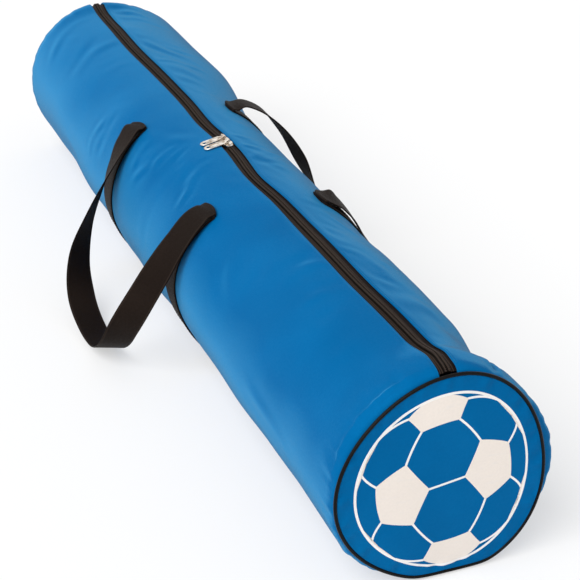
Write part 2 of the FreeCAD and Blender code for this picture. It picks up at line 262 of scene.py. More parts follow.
def toneGroup():
    # slow changes of tone over cloth: two sizes of noise push the colour darker and lighter
    inputs = [("Vector", vectorKind, None), ("Colour", colourKind, None), ("Dark", colourKind, None),
              ("Pale", colourKind, None), ("Amount", valueKind, 0.3)]
    outputs = [("Colour", colourKind), ("Grain", valueKind)]
    group, n, into, out = newGroup("clothTone", inputs, outputs)
    broad = n.noise(into["Vector"], toneSteps["broad"], 3.0)
    fine = n.noise(into["Vector"], toneSteps["fine"], 2.0)
    low = n.math("MULTIPLY", n.ramp(broad, *toneSteps["dark"]), into["Amount"])
    high = n.math("MULTIPLY", n.ramp(broad, *toneSteps["pale"]), into["Amount"])
    toned = n.mix(high, n.mix(low, into["Colour"], into["Dark"]), into["Pale"])
    speck = n.math("MULTIPLY", n.ramp(fine, *toneSteps["speck"]), toneSteps["speckShare"])
    n.put(out["Colour"], n.mix(n.math("MULTIPLY", speck, into["Amount"]), toned, into["Dark"]))
    n.put(out["Grain"], fine)
    return group


scuffSteps = {"stretch": (1.0, 4.0, 1.0), "turned": (0.0, 0.0, 0.5), "detail": 4.0, "rough": 0.65,
              "shown": (0.56, 0.72)}


def scuffGroup():
    # faint scuffs: stretched noise that only shows in thin streaks
    inputs = [("Vector", vectorKind, None), ("Scale", valueKind, 60.0)]
    group, n, into, out = newGroup("surfaceScuff", inputs, [("Mask", valueKind)])
    stretch = n.add("ShaderNodeMapping")
    stretch.inputs["Scale"].default_value = scuffSteps["stretch"]
    stretch.inputs["Rotation"].default_value = scuffSteps["turned"]
    n.put(stretch.inputs["Vector"], into["Vector"])
    streak = n.noise(stretch.outputs[0], into["Scale"], scuffSteps["detail"], scuffSteps["rough"])
    n.put(out["Mask"], n.ramp(streak, *scuffSteps["shown"]))
    return group


weave, tone, scuff = weaveGroup(), toneGroup(), scuffGroup()


def newFinish(name, coords="cloth"):
    # a material of one shader, and the coordinates that its patterns follow
    made = bpy.data.materials.new(name)
    made.use_nodes = True
    n = nodeMaker(made.node_tree)
    made.node_tree.nodes.clear()
    shader = n.add("ShaderNodeBsdfPrincipled")
    n.put(n.add("ShaderNodeOutputMaterial").inputs["Surface"], shader.outputs[0])
    if coords == "cloth":
        where = n.add("ShaderNodeUVMap", uv_map="clothMap").outputs[0]
    else:
        where = n.add("ShaderNodeTexCoord").outputs["Object"]
    return made, n, shader.inputs, where


def bump(n, height, distance, strength, normal=None):
    # turns a height into a normal, on top of another normal if there is one
    node = n.add("ShaderNodeBump")
    n.put(node.inputs["Height"], height)
    node.inputs["Distance"].default_value = distance
    node.inputs["Strength"].default_value = strength
    if normal is not None:
        n.put(node.inputs["Normal"], normal)
    return node.outputs[0]


grainFrom = (0.3, 0.7)   # the range of the noise that roughness follows, in every finish
woven = {"lineEdge": 0.4, "lineShare": 0.8, "roughBy": 0.05, "coarse": (0.0004, 0.25), "sheenRough": 0.45}


def wovenFinish(name, s):
    # cloth, webbing or tape: weave bump, tone changes and scuffs, all in the piece's own cloth coordinates
    made, n, shader, where = newFinish(name)
    threads = n.call(weave, Vector=where, Pitch=s["pitch"])
    tones = n.call(tone, Vector=where, Colour=(*s["colour"], 1), Dark=(*s["dark"], 1), Pale=(*s["pale"], 1),
                   Amount=s["amount"])
    rubbed = n.call(scuff, Vector=where, Scale=s["scuffScale"])[0]
    colour = n.mix(n.math("MULTIPLY", threads["Thread"], s["threadTone"]), tones["Colour"], (*s["dark"], 1))
    colour = n.mix(n.math("MULTIPLY", rubbed, s["scuffTone"]), colour, (*s["pale"], 1))
    if "lines" in s:   # pale lines along the strip at set distances from its middle: partly paler threads, partly painted highlight on its ribs and edges
        split = n.add("ShaderNodeSeparateXYZ")
        n.put(split.inputs[0], where)
        for place, half in s["lines"]:
            away = n.math("ABSOLUTE", n.math("SUBTRACT", n.math("ABSOLUTE", split.outputs[1]), place))
            share = n.math("MULTIPLY", n.ramp(away, half, half * woven["lineEdge"]), woven["lineShare"])
            colour = n.mix(share, colour, (*s["paleLineAndHighlightColour"], 1))
    if "slant" in s:   # painted sheen: seen at a low angle the cloth is painted paler, and nearest its outline a duller painted shade
        low = n.add("ShaderNodeLayerWeight").outputs["Facing"]
        colour = n.mix(n.ramp(low, *s["slantFrom"]), colour, (*s["slant"], 1))
        colour = n.mix(n.ramp(low, *s["paintedEdgeShadeFrom"]), colour, (*s["edge"], 1))
    n.put(shader["Base Color"], colour)
    n.put(shader["Roughness"], n.ramp(tones["Grain"], *grainFrom, s["rough"] - woven["roughBy"],
                                      s["rough"] + woven["roughBy"]))
    shader["Specular IOR Level"].default_value = s["specular"]
    shader["Specular Tint"].default_value = (*s["gloss"], 1)
    if "sheen" in s:
        shader["Sheen Weight"].default_value = s["sheen"]
        shader["Sheen Roughness"].default_value = woven["sheenRough"]
        shader["Sheen Tint"].default_value = (*s["sheenTint"], 1)
    coarse = bump(n, tones["Grain"], *woven["coarse"])
    n.put(shader["Normal"], bump(n, threads["Height"], s["depth"], s["bumpStrength"], coarse))
    return made


clothSettings = {"colour": (0.0009, 0.128, 0.345), "dark": (0.0004, 0.095, 0.270),
                 "pale": (0.004, 0.165, 0.415), "amount": 0.40, "pitch": 0.00055, "depth": 0.00012,
                 "bumpStrength": 0.55, "threadTone": 0.14, "scuffScale": 30.0, "scuffTone": 0.06,
                 "rough": 0.55, "specular": 0.04, "gloss": (0.02, 0.40, 0.95),
                 # slant, with its range, paints a sheen onto the colour where the cloth is seen at a low
                 # angle; edge, with its range, paints a duller shade nearest the outline
                 "slantFrom": (0.53, 0.86), "slant": (0.036, 0.285, 0.565),
                 "paintedEdgeShadeFrom": (0.73, 0.91), "edge": (0.022, 0.172, 0.360)}
webSettings = {"colour": (0.0075, 0.0046, 0.0036), "dark": (0.0030, 0.0020, 0.0016),
               "pale": (0.022, 0.0145, 0.0105), "amount": 0.5, "pitch": 0.0013, "depth": 0.00035,
               "bumpStrength": 0.8, "threadTone": 0.40, "scuffScale": 80.0, "scuffTone": 0.10,
               "rough": 0.60, "specular": 0.11, "gloss": (1.0, 0.72, 0.58),
               # the pale line near each edge is partly paler selvedge threads, partly painted highlight where
               # the edge turns
               "lines": [(0.0172, 0.0007)], "paleLineAndHighlightColour": (0.026, 0.018, 0.014)}
tapeSettings = {**webSettings, "pitch": 0.0005, "depth": 0.00012,
                # the pale lines are partly paler threads, partly painted highlight on the tape's ribs
                "lines": [(0.0046, 0.0006), (0.0069, 0.0006)], "paleLineAndHighlightColour": (0.060, 0.043, 0.034)}
pipingSettings = {**webSettings, "colour": (0.0022, 0.0019, 0.0019), "pale": (0.011, 0.0095, 0.009),
                  "amount": 0.8, "pitch": 0.0007, "depth": 0.0001, "rough": 0.30, "gloss": (1, 1, 1)}
threadSettings = {**clothSettings, "pitch": 0.0004, "colour": (0.004, 0.125, 0.340), "sheen": 0.2,
                  "sheenTint": (0.3, 0.7, 1.0)}
blueCloth = wovenFinish("blueCloth", clothSettings)
blackWeb = wovenFinish("blackWeb", webSettings)
blackTape = wovenFinish("blackTape", tapeSettings)
blackPiping = wovenFinish("blackPiping", pipingSettings)
bindingTape = wovenFinish("bindingTape", {**webSettings, "pitch": 0.0006})
blueThread = wovenFinish("blueThread", threadSettings)
blackThread = wovenFinish("blackThread", {**webSettings, "pitch": 0.0004, "colour": (0.02, 0.014, 0.011)})

coilLook = {"dark": (0.006, 0.0045, 0.0036), "dust": (0.03, 0.022, 0.017), "dustSize": 260.0,
            "dustFrom": (0.5, 0.8, 0.0, 0.6), "crestHighlight": (0.050, 0.036, 0.028), "crestAt": 0.0025,
            "crestHighlightFrom": (0.0009, 0.0003), "crestHighlightShare": 0.8, "rough": (0.28, 0.42), "specular": 0.11,
            "gloss": (1.0, 0.8, 0.7), "relief": (0.0001, 0.3)}


def coilFinish():
    # moulded nylon: near black, a little gloss, dust in the grooves and a painted highlight along the crest
    made, n, shader, where = newFinish("blackCoil")
    dust = n.noise(where, coilLook["dustSize"], 3.0)
    split = n.add("ShaderNodeSeparateXYZ")
    n.put(split.inputs[0], where)
    # the top of the coil is painted paler: a painted highlight
    away = n.math("ABSOLUTE", n.math("SUBTRACT", split.outputs[1], coilLook["crestAt"]))
    crestHighlight = n.math("MULTIPLY", n.ramp(away, *coilLook["crestHighlightFrom"]), coilLook["crestHighlightShare"])
    dark = n.mix(n.ramp(dust, *coilLook["dustFrom"]), (*coilLook["dark"], 1), (*coilLook["dust"], 1))
    n.put(shader["Base Color"], n.mix(crestHighlight, dark, (*coilLook["crestHighlight"], 1)))
    n.put(shader["Roughness"], n.ramp(dust, *grainFrom, *coilLook["rough"]))
    shader["Specular IOR Level"].default_value = coilLook["specular"]
    shader["Specular Tint"].default_value = (*coilLook["gloss"], 1)
    n.put(shader["Normal"], bump(n, dust, *coilLook["relief"]))
    return made


nickelLook = {"bright": (0.90, 0.84, 0.76), "paintedDarkReflection": (0.40, 0.30, 0.21), "cloudSize": 130.0,
              "paintedReflectionFrom": (0.40, 0.62, 0.0, 0.8), "scratch": (0.42, 0.38, 0.34), "scratchScale": 700.0,
              "scratchShare": 0.3, "rough": (0.17, 0.27), "scratchRough": 0.18, "relief": (0.0002, 0.12)}


def nickelFinish():
    # polished nickel with a warm cast: fine scratches, and dark warm patches of painted reflection
    made, n, shader, where = newFinish("brightNickel", "object")
    cloud = n.noise(where, nickelLook["cloudSize"], 3.0)
    rubbed = n.call(scuff, Vector=where, Scale=nickelLook["scratchScale"])[0]
    # the cloudy patches are painted dark reflections in the colour
    share = n.ramp(cloud, *nickelLook["paintedReflectionFrom"])
    colour = n.mix(share, (*nickelLook["bright"], 1), (*nickelLook["paintedDarkReflection"], 1))
    share = n.math("MULTIPLY", rubbed, nickelLook["scratchShare"])
    n.put(shader["Base Color"], n.mix(share, colour, (*nickelLook["scratch"], 1)))
    shader["Metallic"].default_value = 1.0
    n.put(shader["Roughness"], n.math("MULTIPLY_ADD", rubbed, nickelLook["scratchRough"],
                                      n.ramp(cloud, *grainFrom, *nickelLook["rough"])))
    n.put(shader["Normal"], bump(n, cloud, *nickelLook["relief"]))
    return made


inkLook = {"pitch": 0.00055, "darker": 0.90, "paler": 1.05, "amount": 0.5, "scuffScale": 45.0,
           "wornShare": 0.12, "worn": (0.62, 0.68, 0.76), "rough": (0.48, 0.6), "specular": 0.35,
           "relief": (0.0001, 0.35)}


def inkFinish(name, colour):
    # screen printed ink: the cloth's weave comes through, with a slightly uneven tone
    made, n, shader, where = newFinish(name)
    threads = n.call(weave, Vector=where, Pitch=inkLook["pitch"])
    dark, pale = [c * inkLook["darker"] for c in colour], [c * inkLook["paler"] for c in colour]
    tones = n.call(tone, Vector=where, Colour=(*colour, 1), Dark=(*dark, 1), Pale=(*pale, 1),
                   Amount=inkLook["amount"])
    rubbed = n.call(scuff, Vector=where, Scale=inkLook["scuffScale"])[0]
    share = n.math("MULTIPLY", rubbed, inkLook["wornShare"])
    n.put(shader["Base Color"], n.mix(share, tones["Colour"], (*inkLook["worn"], 1)))
    n.put(shader["Roughness"], n.ramp(tones["Grain"], *grainFrom, *inkLook["rough"]))
    shader["Specular IOR Level"].default_value = inkLook["specular"]
    n.put(shader["Normal"], bump(n, threads["Height"], *inkLook["relief"]))
    return made


blackCoil, brightNickel = coilFinish(), nickelFinish()
creamInk, whiteInk = inkFinish("creamInk", (0.86, 0.78, 0.71)), inkFinish("whiteInk", (0.90, 0.88, 0.86))
print("materials made:", len(bpy.data.materials))

# the bag's cloth surface
ends = {"near": 1, "far": -1}
sides = {"left": -1, "right": 1}
bag = {"axis": 0.117576, "radius": 0.120, "seamAt": 0.660, "mouthEnd": 0.600, "zipHalf": 0.0095,
       "wall": 0.0012, "gap": 0.0098, "floor": 0.0005, "floorSoft": 0.004, "bandRoom": 0.0022,
       "seamFloor": 0.0034, "seamSoft": 0.002, "closeOver": 1.035, "closeShare": 0.742,
       "gather": 0.00045}
# each seam: its middle, mean reach and (cosine, sine) waves of one, two and three to the turn;
# the run over which the cloth closes on it, and where that run is shorter (share, angle, spread)
seams = {"near": {"x": 0.6625, "y": -0.0050, "z": 0.0020, "reach": 0.1179,
                  "waves": [(-0.0034, 0.0050), (0.0018, -0.0015), (0.0017, 0.0034)],
                  "close": 0.014, "tight": (0.45, 1.75, 0.6)},
         "far": {"x": -0.6625, "y": 0.0070, "z": 0.0015, "reach": 0.1115,
                 "waves": [(0.0, 0.0020), (-0.0015, 0.0020), (0.0, 0.0)],
                 "close": 0.040, "tight": (0.35, 0, 0.5)}}
band = {"x": 0.152, "skew": 0.27, "fromY": -0.07089, "rightY": 0.056113, "half": 0.019, "thick": 0.0019,
        "across": 16, "leftFold": -35.0, "rightFold": 27.0, "pivot": 0.1236, "stray": (0.010, 0.007),
        "slant": 15.0}
# the zip's way off the middle line, and the half gap over it:
# bells (middle, width, by) and rises (from, to, by)
driftBells = [(0.120, 0.060, -0.0054), (-0.085, 0.055, -0.0030), (-0.42, 0.13, -0.0038)]
driftRises = [(0.41, 0.56, 0.0040), (0.618, 0.655, -0.0026), (-0.56, -0.65, 0.0022)]
gapBells = [(0.125, 0.035, -0.0008)]
gapRises = [(-0.05, -0.20, 0.0003), (0.17, 0.32, 0.0014), (0.45, 0.54, 0.0007), (0.57, 0.645, -0.0022)]
# heights of the slack: long and short ripples along the bag, ripples round it,
# and fine ones right and left of the zip
slack = {"long": 0.0007, "short": 0.0006, "round": 0.0005, "fineRight": 0.0007, "fineLeft": 0.0003}
# folds in the cloth: from (station, degrees) to (station, degrees), half width, height, as metres
folds = [(-0.590, -18, -0.553, -64, 0.0162, 0.0007), (-0.472, -8, -0.424, -48, 0.0189, 0.0006),
         (-0.500, -14, -0.455, -52, 0.0162, -0.0005), (-0.420, -92, -0.300, -100, 0.0162, 0.0006),
         (-0.262, -50, -0.262, -80, 0.0121, 0.0007), (-0.225, -44, -0.235, -76, 0.0135, -0.0006),
         (-0.058, -44, -0.072, -68, 0.0108, 0.0007), (-0.095, -38, -0.100, -60, 0.0121, 0.0005),
         (-0.046, -27, -0.036, -50, 0.0095, 0.0007), (-0.015, -20, -0.005, -44, 0.0108, -0.0006),
         (0.052, -26, 0.080, -52, 0.0088, 0.0010), (0.030, -18, 0.050, -44, 0.0108, -0.0006),
         (-0.125, -42, -0.035, -14, 0.0121, 0.0004), (-0.120, 36, -0.020, 14, 0.0135, 0.0004),
         (0.240, -34, 0.330, -62, 0.0189, 0.0009), (0.275, -24, 0.350, -50, 0.0189, -0.0006),
         (0.371, -6, 0.386, -34, 0.0135, 0.0008), (0.345, -6, 0.352, -32, 0.0149, -0.0006),
         (0.452, -7, 0.433, -38, 0.0135, 0.0007), (0.475, -8, 0.462, -38, 0.0162, -0.0006),
         (0.550, -16, 0.520, -52, 0.0189, 0.0005), (0.400, -84, 0.535, -104, 0.0135, 0.0009),
         (0.058, 5, 0.032, 40, 0.0095, 0.0008), (0.085, 7, 0.066, 34, 0.0108, -0.0006),
         (0.105, 7, 0.215, 19, 0.0108, 0.0008), (0.060, 9, 0.150, 24, 0.0121, -0.0006),
         (0.230, 18, 0.322, 44, 0.0095, 0.0010), (0.260, 12, 0.340, 32, 0.0121, -0.0007),
         (0.350, 9, 0.425, 25, 0.0095, 0.0009), (0.385, 8, 0.460, 22, 0.0108, -0.0007),
         (-0.450, 10, -0.338, 36, 0.0108, 0.0009), (-0.425, 8, -0.300, 30, 0.0121, -0.0007),
         (-0.350, 6, -0.310, 38, 0.0108, 0.0008), (-0.600, 12, -0.520, 40, 0.0135, -0.0007),
         (-0.240, 8, -0.170, 30, 0.0108, 0.0007), (0.612, 35, 0.654, 27, 0.0055, -0.0032),
         (0.560, 46, 0.650, 34, 0.0100, -0.0012), (0.120, -85, 0.020, -120, 0.0189, 0.0008),
         (-0.170, -90, -0.070, -128, 0.0189, 0.0007), (0.230, 85, 0.330, 125, 0.0216, 0.0009),
         (0.060, 80, -0.040, 120, 0.0189, 0.0007), (0.645, -14, 0.652, -72, 0.0036, 0.0013)]
# slow swells and hollows of the filled bag:
# starts, full from, full to, gone, at the angle, half its spread, height
swells = [(0.575, 0.635, 0.80, 0.90, 0.05, 0.45, 0.0076), (0.600, 0.640, 0.80, 0.90, -0.80, 0.45, 0.0022),
          (0.50, 0.66, 0.80, 0.90, -1.95, 0.60, 0.0040), (0.21, 0.31, 0.52, 0.62, 1.50, 0.50, -0.0058),
          (0.18, 0.24, 0.26, 0.34, 0.85, 0.50, -0.0040), (0.49, 0.550, 0.597, 0.626, 0.82, 0.48, -0.0105),
          (0.600, 0.628, 0.80, 0.90, 1.90, 0.60, 0.0080), (-0.90, -0.80, -0.38, -0.18, 1.12, 0.56, 0.0232),
          (-0.90, -0.80, -0.645, -0.598, 0.00, 0.60, 0.0035),
          (-0.90, -0.80, -0.50, -0.30, -2.07, 0.60, -0.0060),
          (-0.20, -0.10, 0.45, 0.55, -2.07, 0.60, 0.0030), (-0.64, -0.61, -0.55, -0.50, 0.20, 0.17, -0.0022)]


def ringCurve(ring, theta):
    # reach + sum of c cos(k theta) + s sin(k theta), held off the floor;
    # theta is 0 on top, positive to the right
    r = ring["reach"] + sum(c * np.cos(k * theta) + s * np.sin(k * theta)
                            for k, (c, s) in enumerate(ring["waves"], 1))
    down = np.maximum(-np.cos(theta), 0.05)
    spare = ((bag["axis"] + ring["z"] - bag["seamFloor"]) / down - r) / bag["seamSoft"]
    return r - bag["seamSoft"] * np.log1p(np.exp(-np.clip(spare, -40, 40)))


def ringReach(ring, phi):
    # distance from the bag's axis to the seam at the angle phi, read off the curve round the seam's middle
    theta = np.linspace(-math.pi, math.pi, 721)
    y = ring["y"] + ringCurve(ring, theta) * np.sin(theta)
    z = ring["z"] + ringCurve(ring, theta) * np.cos(theta)
    order = np.argsort(np.arctan2(y, z))
    return np.interp(phi, np.arctan2(y, z)[order], np.hypot(y, z)[order], period=2 * math.pi)


def zipDrift(x):
    # how far the zip wanders off the bag's middle line: its bells and rises, but none at the sliders
    return humps(x, driftBells, driftRises) * (1 - bell(x, 0, 0.034))


def hemAt(x, s):
    # angle of a point of the cloth s away from the hem; the gap over the zip widens towards the printed end
    gap = bag["gap"] + humps(x, gapBells, gapRises)
    halfRound = math.pi * bag["radius"] - bag["zipHalf"]
    return (gap + s * (1 - (gap - bag["zipHalf"]) / halfRound)) / bag["radius"]


def bandLine(x, y):
    # distance along the bag to the nearer sewn band; the near band lies askew
    near = x - band["x"] - band["skew"] * (y - band["fromY"])
    return np.where(x > 0, near, x + band["x"])


def foldHeight(x, phi):
    # each fold: height (1 - 2 d^2) e^(-d^2), d the distance across it, wandering a little,
    # and faded at both ends
    total = np.zeros(np.broadcast(x, phi).shape)
    for x0, a0, x1, a1, width, height in folds:
        s0, s1 = (bag["radius"] * math.radians(v) for v in (a0, a1))
        dx, ds = x1 - x0, s1 - s0
        length = math.hypot(dx, ds)
        along = ((x - x0) * dx + (bag["radius"] * phi - s0) * ds) / length ** 2
        away = ((x - x0) * ds - (bag["radius"] * phi - s0) * dx) / length / width
        away = away + 0.45 * np.sin(4.2 * along + 90 * x0)
        height = height * (0.75 + 0.35 * np.sin(8 * along + 50 * x0 + a0))
        faded = rise(-0.15, 0.35, along) * rise(1.15, 0.6, along)
        total = total + height * (1 - 2 * away ** 2) * np.exp(-away ** 2) * faded
    return total


def slackAt(x, e, phi, a):
    # sines along the bag and round it, with fine ones in patches beside the zip, all weaker towards the zip
    straight = 1 - 0.6 * rise(-0.1, -0.3, x) * rise(0.5, 1.0, phi)
    ripple = slack["long"] * np.sin(e * 21 + 1.4 * np.sin(2 * phi))
    ripple = ripple + slack["short"] * np.sin(e * 37 - 3 * phi + 1)
    ripple = ripple * straight + slack["round"] * np.sin(5 * phi + e * 11)
    right = rise(0.09, 0.2, phi) * rise(0.9, 0.4, phi)
    left = rise(-0.09, -0.2, phi) * rise(-0.8, -0.35, phi)
    patches = (0.5 + 0.5 * np.sin(23 * e + 7 * phi)) * (0.5 + 0.5 * np.sin(41 * e - 5 * phi + 2))
    fine = np.sin(150 * e - 11 * phi + 1.7 * np.sin(31 * e) + np.sin(12 * phi + 5 * e))
    ripple = ripple + (slack["fineRight"] * right + slack["fineLeft"] * left) * patches * fine
    return ripple * (0.35 + 0.65 * np.maximum(rise(0.35, 0.8, np.abs(a)), right))


def drawnIn(r, ring, out, a, phi):
    # towards a seam the reach goes the share 1 - sqrt(1 - s^2) of the way to the seam's, s rising over the
    # closing run, with a small gather; out is the distance from mid-length towards that seam
    share, where, spread = ring["tight"]
    run = ring["close"] * (1 - share * bell(phi, where, spread))
    s = np.clip((out - (bag["seamAt"] - run)) / (run * bag["closeOver"]), 0, 0.9999)
    drop = (1 - np.sqrt(1 - s * s)) / bag["closeShare"]
    gather = (np.sin(23 * phi + 1) + np.sin(37 * phi) + 0.6 * np.sin(61 * phi + 2)) * bag["gather"]
    gather = gather * rise(bag["seamAt"] - 0.045, bag["seamAt"] - 0.006, out) * rise(0.16, 0.3, np.abs(a))
    r = r + gather * (1 - s ** 4)
    return r + (ringReach(ring, phi) + 0.0004 - r) * drop


def overFloor(x, y, z):
    # the underside pressed flat, with room for the sewn bands:
    # low + soft ln(1 + e^d) - soft / 10 e^(-d^2), with d = (z - low) / soft
    low = bag["floor"] + bag["bandRoom"] * rise(0.031, 0.0215, np.abs(bandLine(x, y)))
    soft = bag["floorSoft"]
    dip = np.clip((z - low) / soft, -30, 30)
    return np.where(z < low + 5 * soft, low + soft * np.log1p(np.exp(dip)) - soft / 10 * np.exp(-dip ** 2), z)


def skinPoint(x, a):
    # the outer face of the cloth at station x and angle a (0 is the zip, positive to the right):
    # the tube's radius, its slack, folds and swells, then both seams and the floor
    x, a = np.broadcast_arrays(np.asarray(x, float), np.asarray(a, float))
    phi = a + zipDrift(x) / bag["radius"] * (1 - rise(0.3, 1.4, np.abs(a)))
    e = x * rise(0, 0.03, np.abs(x))   # level stretch where the near and far cloth meet
    calm = 1 - bell(np.abs(x), 0.165, 0.045) * rise(1.25, 0.85, np.abs(a))   # smooth at the handles' folds
    r = bag["radius"] + (slackAt(x, e, phi, a) + foldHeight(e, phi) * rise(0.06, 0.16, np.abs(a))) * calm
    for start, fullFrom, fullTo, gone, middle, half, height in swells:
        r = r + height * rise(start, fullFrom, x) * rise(gone, fullTo, x) * bell(phi, middle, half)
    for endName, ring in seams.items():
        r = drawnIn(r, ring, x * ends[endName], a, phi)
    y, z = r * np.sin(phi), bag["axis"] + r * np.cos(phi)
    return np.stack([x, y, overFloor(x, y, z)], -1)


def bagPoint(x, a, level):
    # a point at a height over the cloth's outer face, along its normal (cross of the two slopes)
    x, a, level = np.broadcast_arrays(*(np.asarray(v, float) for v in (x, a, level)))
    step = 0.0002   # the slopes are taken over this
    along = skinPoint(x + step, a) - skinPoint(x - step, a)
    across = skinPoint(x, a + step / bag["radius"]) - skinPoint(x, a - step / bag["radius"])
    return skinPoint(x, a) + unit(np.cross(along, across)) * level[..., None]


def bendWithMouth(piece):
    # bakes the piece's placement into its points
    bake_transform(piece)


hem = {"width": 0.0095, "raise": 0.0002, "fold": 0.0011, "rounded": 0.001, "topRound": 0.0008,
       "underRound": 0.0006, "groove": 0.0003, "grooveHalf": 0.0005, "stitchAt": 0.0020, "stitch": 0.0030,
       "gap": 0.0010, "thread": 0.00022, "threadUp": 0.0001}
cloth = {"atHem": [0, 0.0003, 0.0007, 0.0012, 0.0016, 0.0020, 0.0024, 0.0030, 0.004, 0.0055, 0.0070, 0.0084,
                   0.0092, 0.0098, 0.0106, 0.0118, 0.0136, 0.016],
         "round": 96, "along": 158, "closing": 15, "crowd": 1.3}


def clothPanel(endName, sideName):
    # one quarter of the bag's cloth, from the zip's hem round to the middle of the underside:
    # two levels over the surface, further apart along the hem and rounded together at its edge
    end, side = ends[endName], sides[sideName]
    rest = np.linspace(cloth["atHem"][-1], bag["radius"] * math.pi - bag["zipHalf"], cloth["round"])[1:]
    s = np.concatenate([cloth["atHem"], rest])
    close, still = seams[endName]["close"], 1 - np.linspace(0, 1, cloth["closing"])[1:]
    x = np.concatenate([np.linspace(0, bag["seamAt"] - close, cloth["along"]),
                        bag["seamAt"] - close * still ** cloth["crowd"]])
    grid, angle = end * x[:, None], side * hemAt(end * x[:, None], s[None, :])
    double = rise(hem["width"] + 0.004, hem["width"] - 0.003, s)   # the hem's cloth lies twice
    edge = np.clip(1 - s / hem["rounded"], 0, 1) ** 2
    outer = hem["raise"] * double - hem["groove"] * bell(s, hem["stitchAt"], hem["grooveHalf"])
    outer = outer - hem["topRound"] * edge
    inner = -bag["wall"] - hem["fold"] * double + hem["underRound"] * edge
    panel = sheetShell(endName + sideName.capitalize() + "Cloth", bagPoint(grid, angle, outer[None, :]),
                       bagPoint(grid, angle, inner[None, :]), blueCloth,
                       paired(grid, side * (bag["zipHalf"] + s)[None, :]))
    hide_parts("body_panel", sideName + "_mouth_flap")
    bendWithMouth(panel)
    return panel


pill = {"at": [0.0, 0.12, 0.35, 0.65, 0.88, 1.0], "size": [0.25, 0.8, 1, 1, 0.8, 0.25],
        "arch": [-0.9, -0.1, 0.35, 0.35, -0.1, -0.9], "sides": 6, "mapped": 0.003}


def stitchRow(name, starts, stops, normals, radius, finish):
    # one short pill per stitch: rings of points along a shallow arch, with a flat face at each end
    n, around = len(starts), pill["sides"]
    t, size, arch = np.array(pill["at"]), np.array(pill["size"]) * radius, np.array(pill["arch"]) * radius
    middle = starts[:, None] * (1 - t)[None, :, None] + stops[:, None] * t[None, :, None]
    middle = middle + normals[:, None] * arch[None, :, None]
    way = unit(stops - starts)
    side = unit(np.cross(way, normals))
    turnBy = ringAngles(around)
    spoke = np.cos(turnBy)[None, :, None] * side[:, None] + np.sin(turnBy)[None, :, None] * normals[:, None]
    rings = middle[:, :, None] + spoke[:, None] * size[None, :, None, None]
    count = len(t) * around
    quads = np.array(gridFaces(len(t), around, wrapCols=True))
    faces = (quads[None] + (np.arange(n) * count)[:, None, None]).reshape(-1, 4)
    first, last = list(range(around)), list(range(count - around, count))
    if np.dot(np.cross(way[0], rings[0, 2, 1] - rings[0, 2, 0]), rings[0, 2, 0] - middle[0, 2]) < 0:
        faces, first = faces[:, ::-1], first[::-1]
    else:
        last = last[::-1]
    caps = [[k + i for i in cap] for k in range(0, n * count, count) for cap in (first, last)]
    mapped = paired((t * pill["mapped"])[None, :, None], (turnBy * radius)[None, None, :])
    mapped = np.broadcast_to(mapped, (n, len(t), around, 2))
    return makePiece(name, rings, faces.tolist() + caps, finish, mapped)


def hemStitches(endName, sideName):
    # one row of topstitching along the zip's hem
    end, side = ends[endName], sides[sideName]
    x = end * np.arange(0.001, 0.652, hem["stitch"] + hem["gap"])
    after, middle = x + end * hem["stitch"], x + end * hem["stitch"] / 2
    a, c = side * hemAt(x, hem["stitchAt"]), side * hemAt(middle, hem["stitchAt"])
    normals = unit(bagPoint(middle, c, 0.001) - bagPoint(middle, c, 0))
    row = stitchRow(endName + sideName.capitalize() + "HemStitches", bagPoint(x, a, hem["threadUp"]),
                    bagPoint(after, a, hem["threadUp"]), normals, hem["thread"], blueThread)
    bendWithMouth(row)
    return row


for endName in ends:
    for sideName in sides:
        panel = clothPanel(endName, sideName)
        stitches = hemStitches(endName, sideName)
        print(panel.name, "of", len(panel.data.polygons), "faces")

# the zip
zipper = {"coilAt": 0.0003, "coilWidth": 0.0031, "coilLow": -0.00345, "coilHigh": -0.00030, "pitch": 0.0022,
          "perPitch": 6, "coilSides": 10, "coilMap": 0.0016, "parted": 0.0019, "teeth": (0.0006, 0.0010),
          "outerTeeth": 0.0002, "tapeTop": -0.0035, "tapeUp": 0.0008, "tapeThick": 0.0008, "joint": 0.0002,
          "tapeStep": 0.006, "endStep": 0.002, "tapeStops": 0.6585, "coilStops": 0.6580}
facing = {"from": 0.0080, "to": 0.0350, "stops": 0.6575, "step": 0.003, "top": -0.0037, "bottom": -0.0047}


def tapeTop(s):
    # the tape lies low beside the coil and comes up under the hem
    return zipper["tapeTop"] + zipper["tapeUp"] * rise(0.0088, 0.0125, s) - 0.00008 * bell(s, 0.0047, 0.0006)


def zipTape(name, x, side):
    # two levels over the cloth's surface, the tape's thickness apart
    s = np.concatenate([np.linspace(0.0002, 0.0072, 9), np.linspace(0.0080, 0.0172, 10)])
    a = side * s / bag["radius"]
    top = tapeTop(s)[None, :] + 0 * x[:, None]
    return sheetShell(name, bagPoint(x[:, None], a[None, :], top),
                      bagPoint(x[:, None], a[None, :], top - zipper["tapeThick"]), blackTape,
                      paired(x[:, None], (side * s)[None, :]))


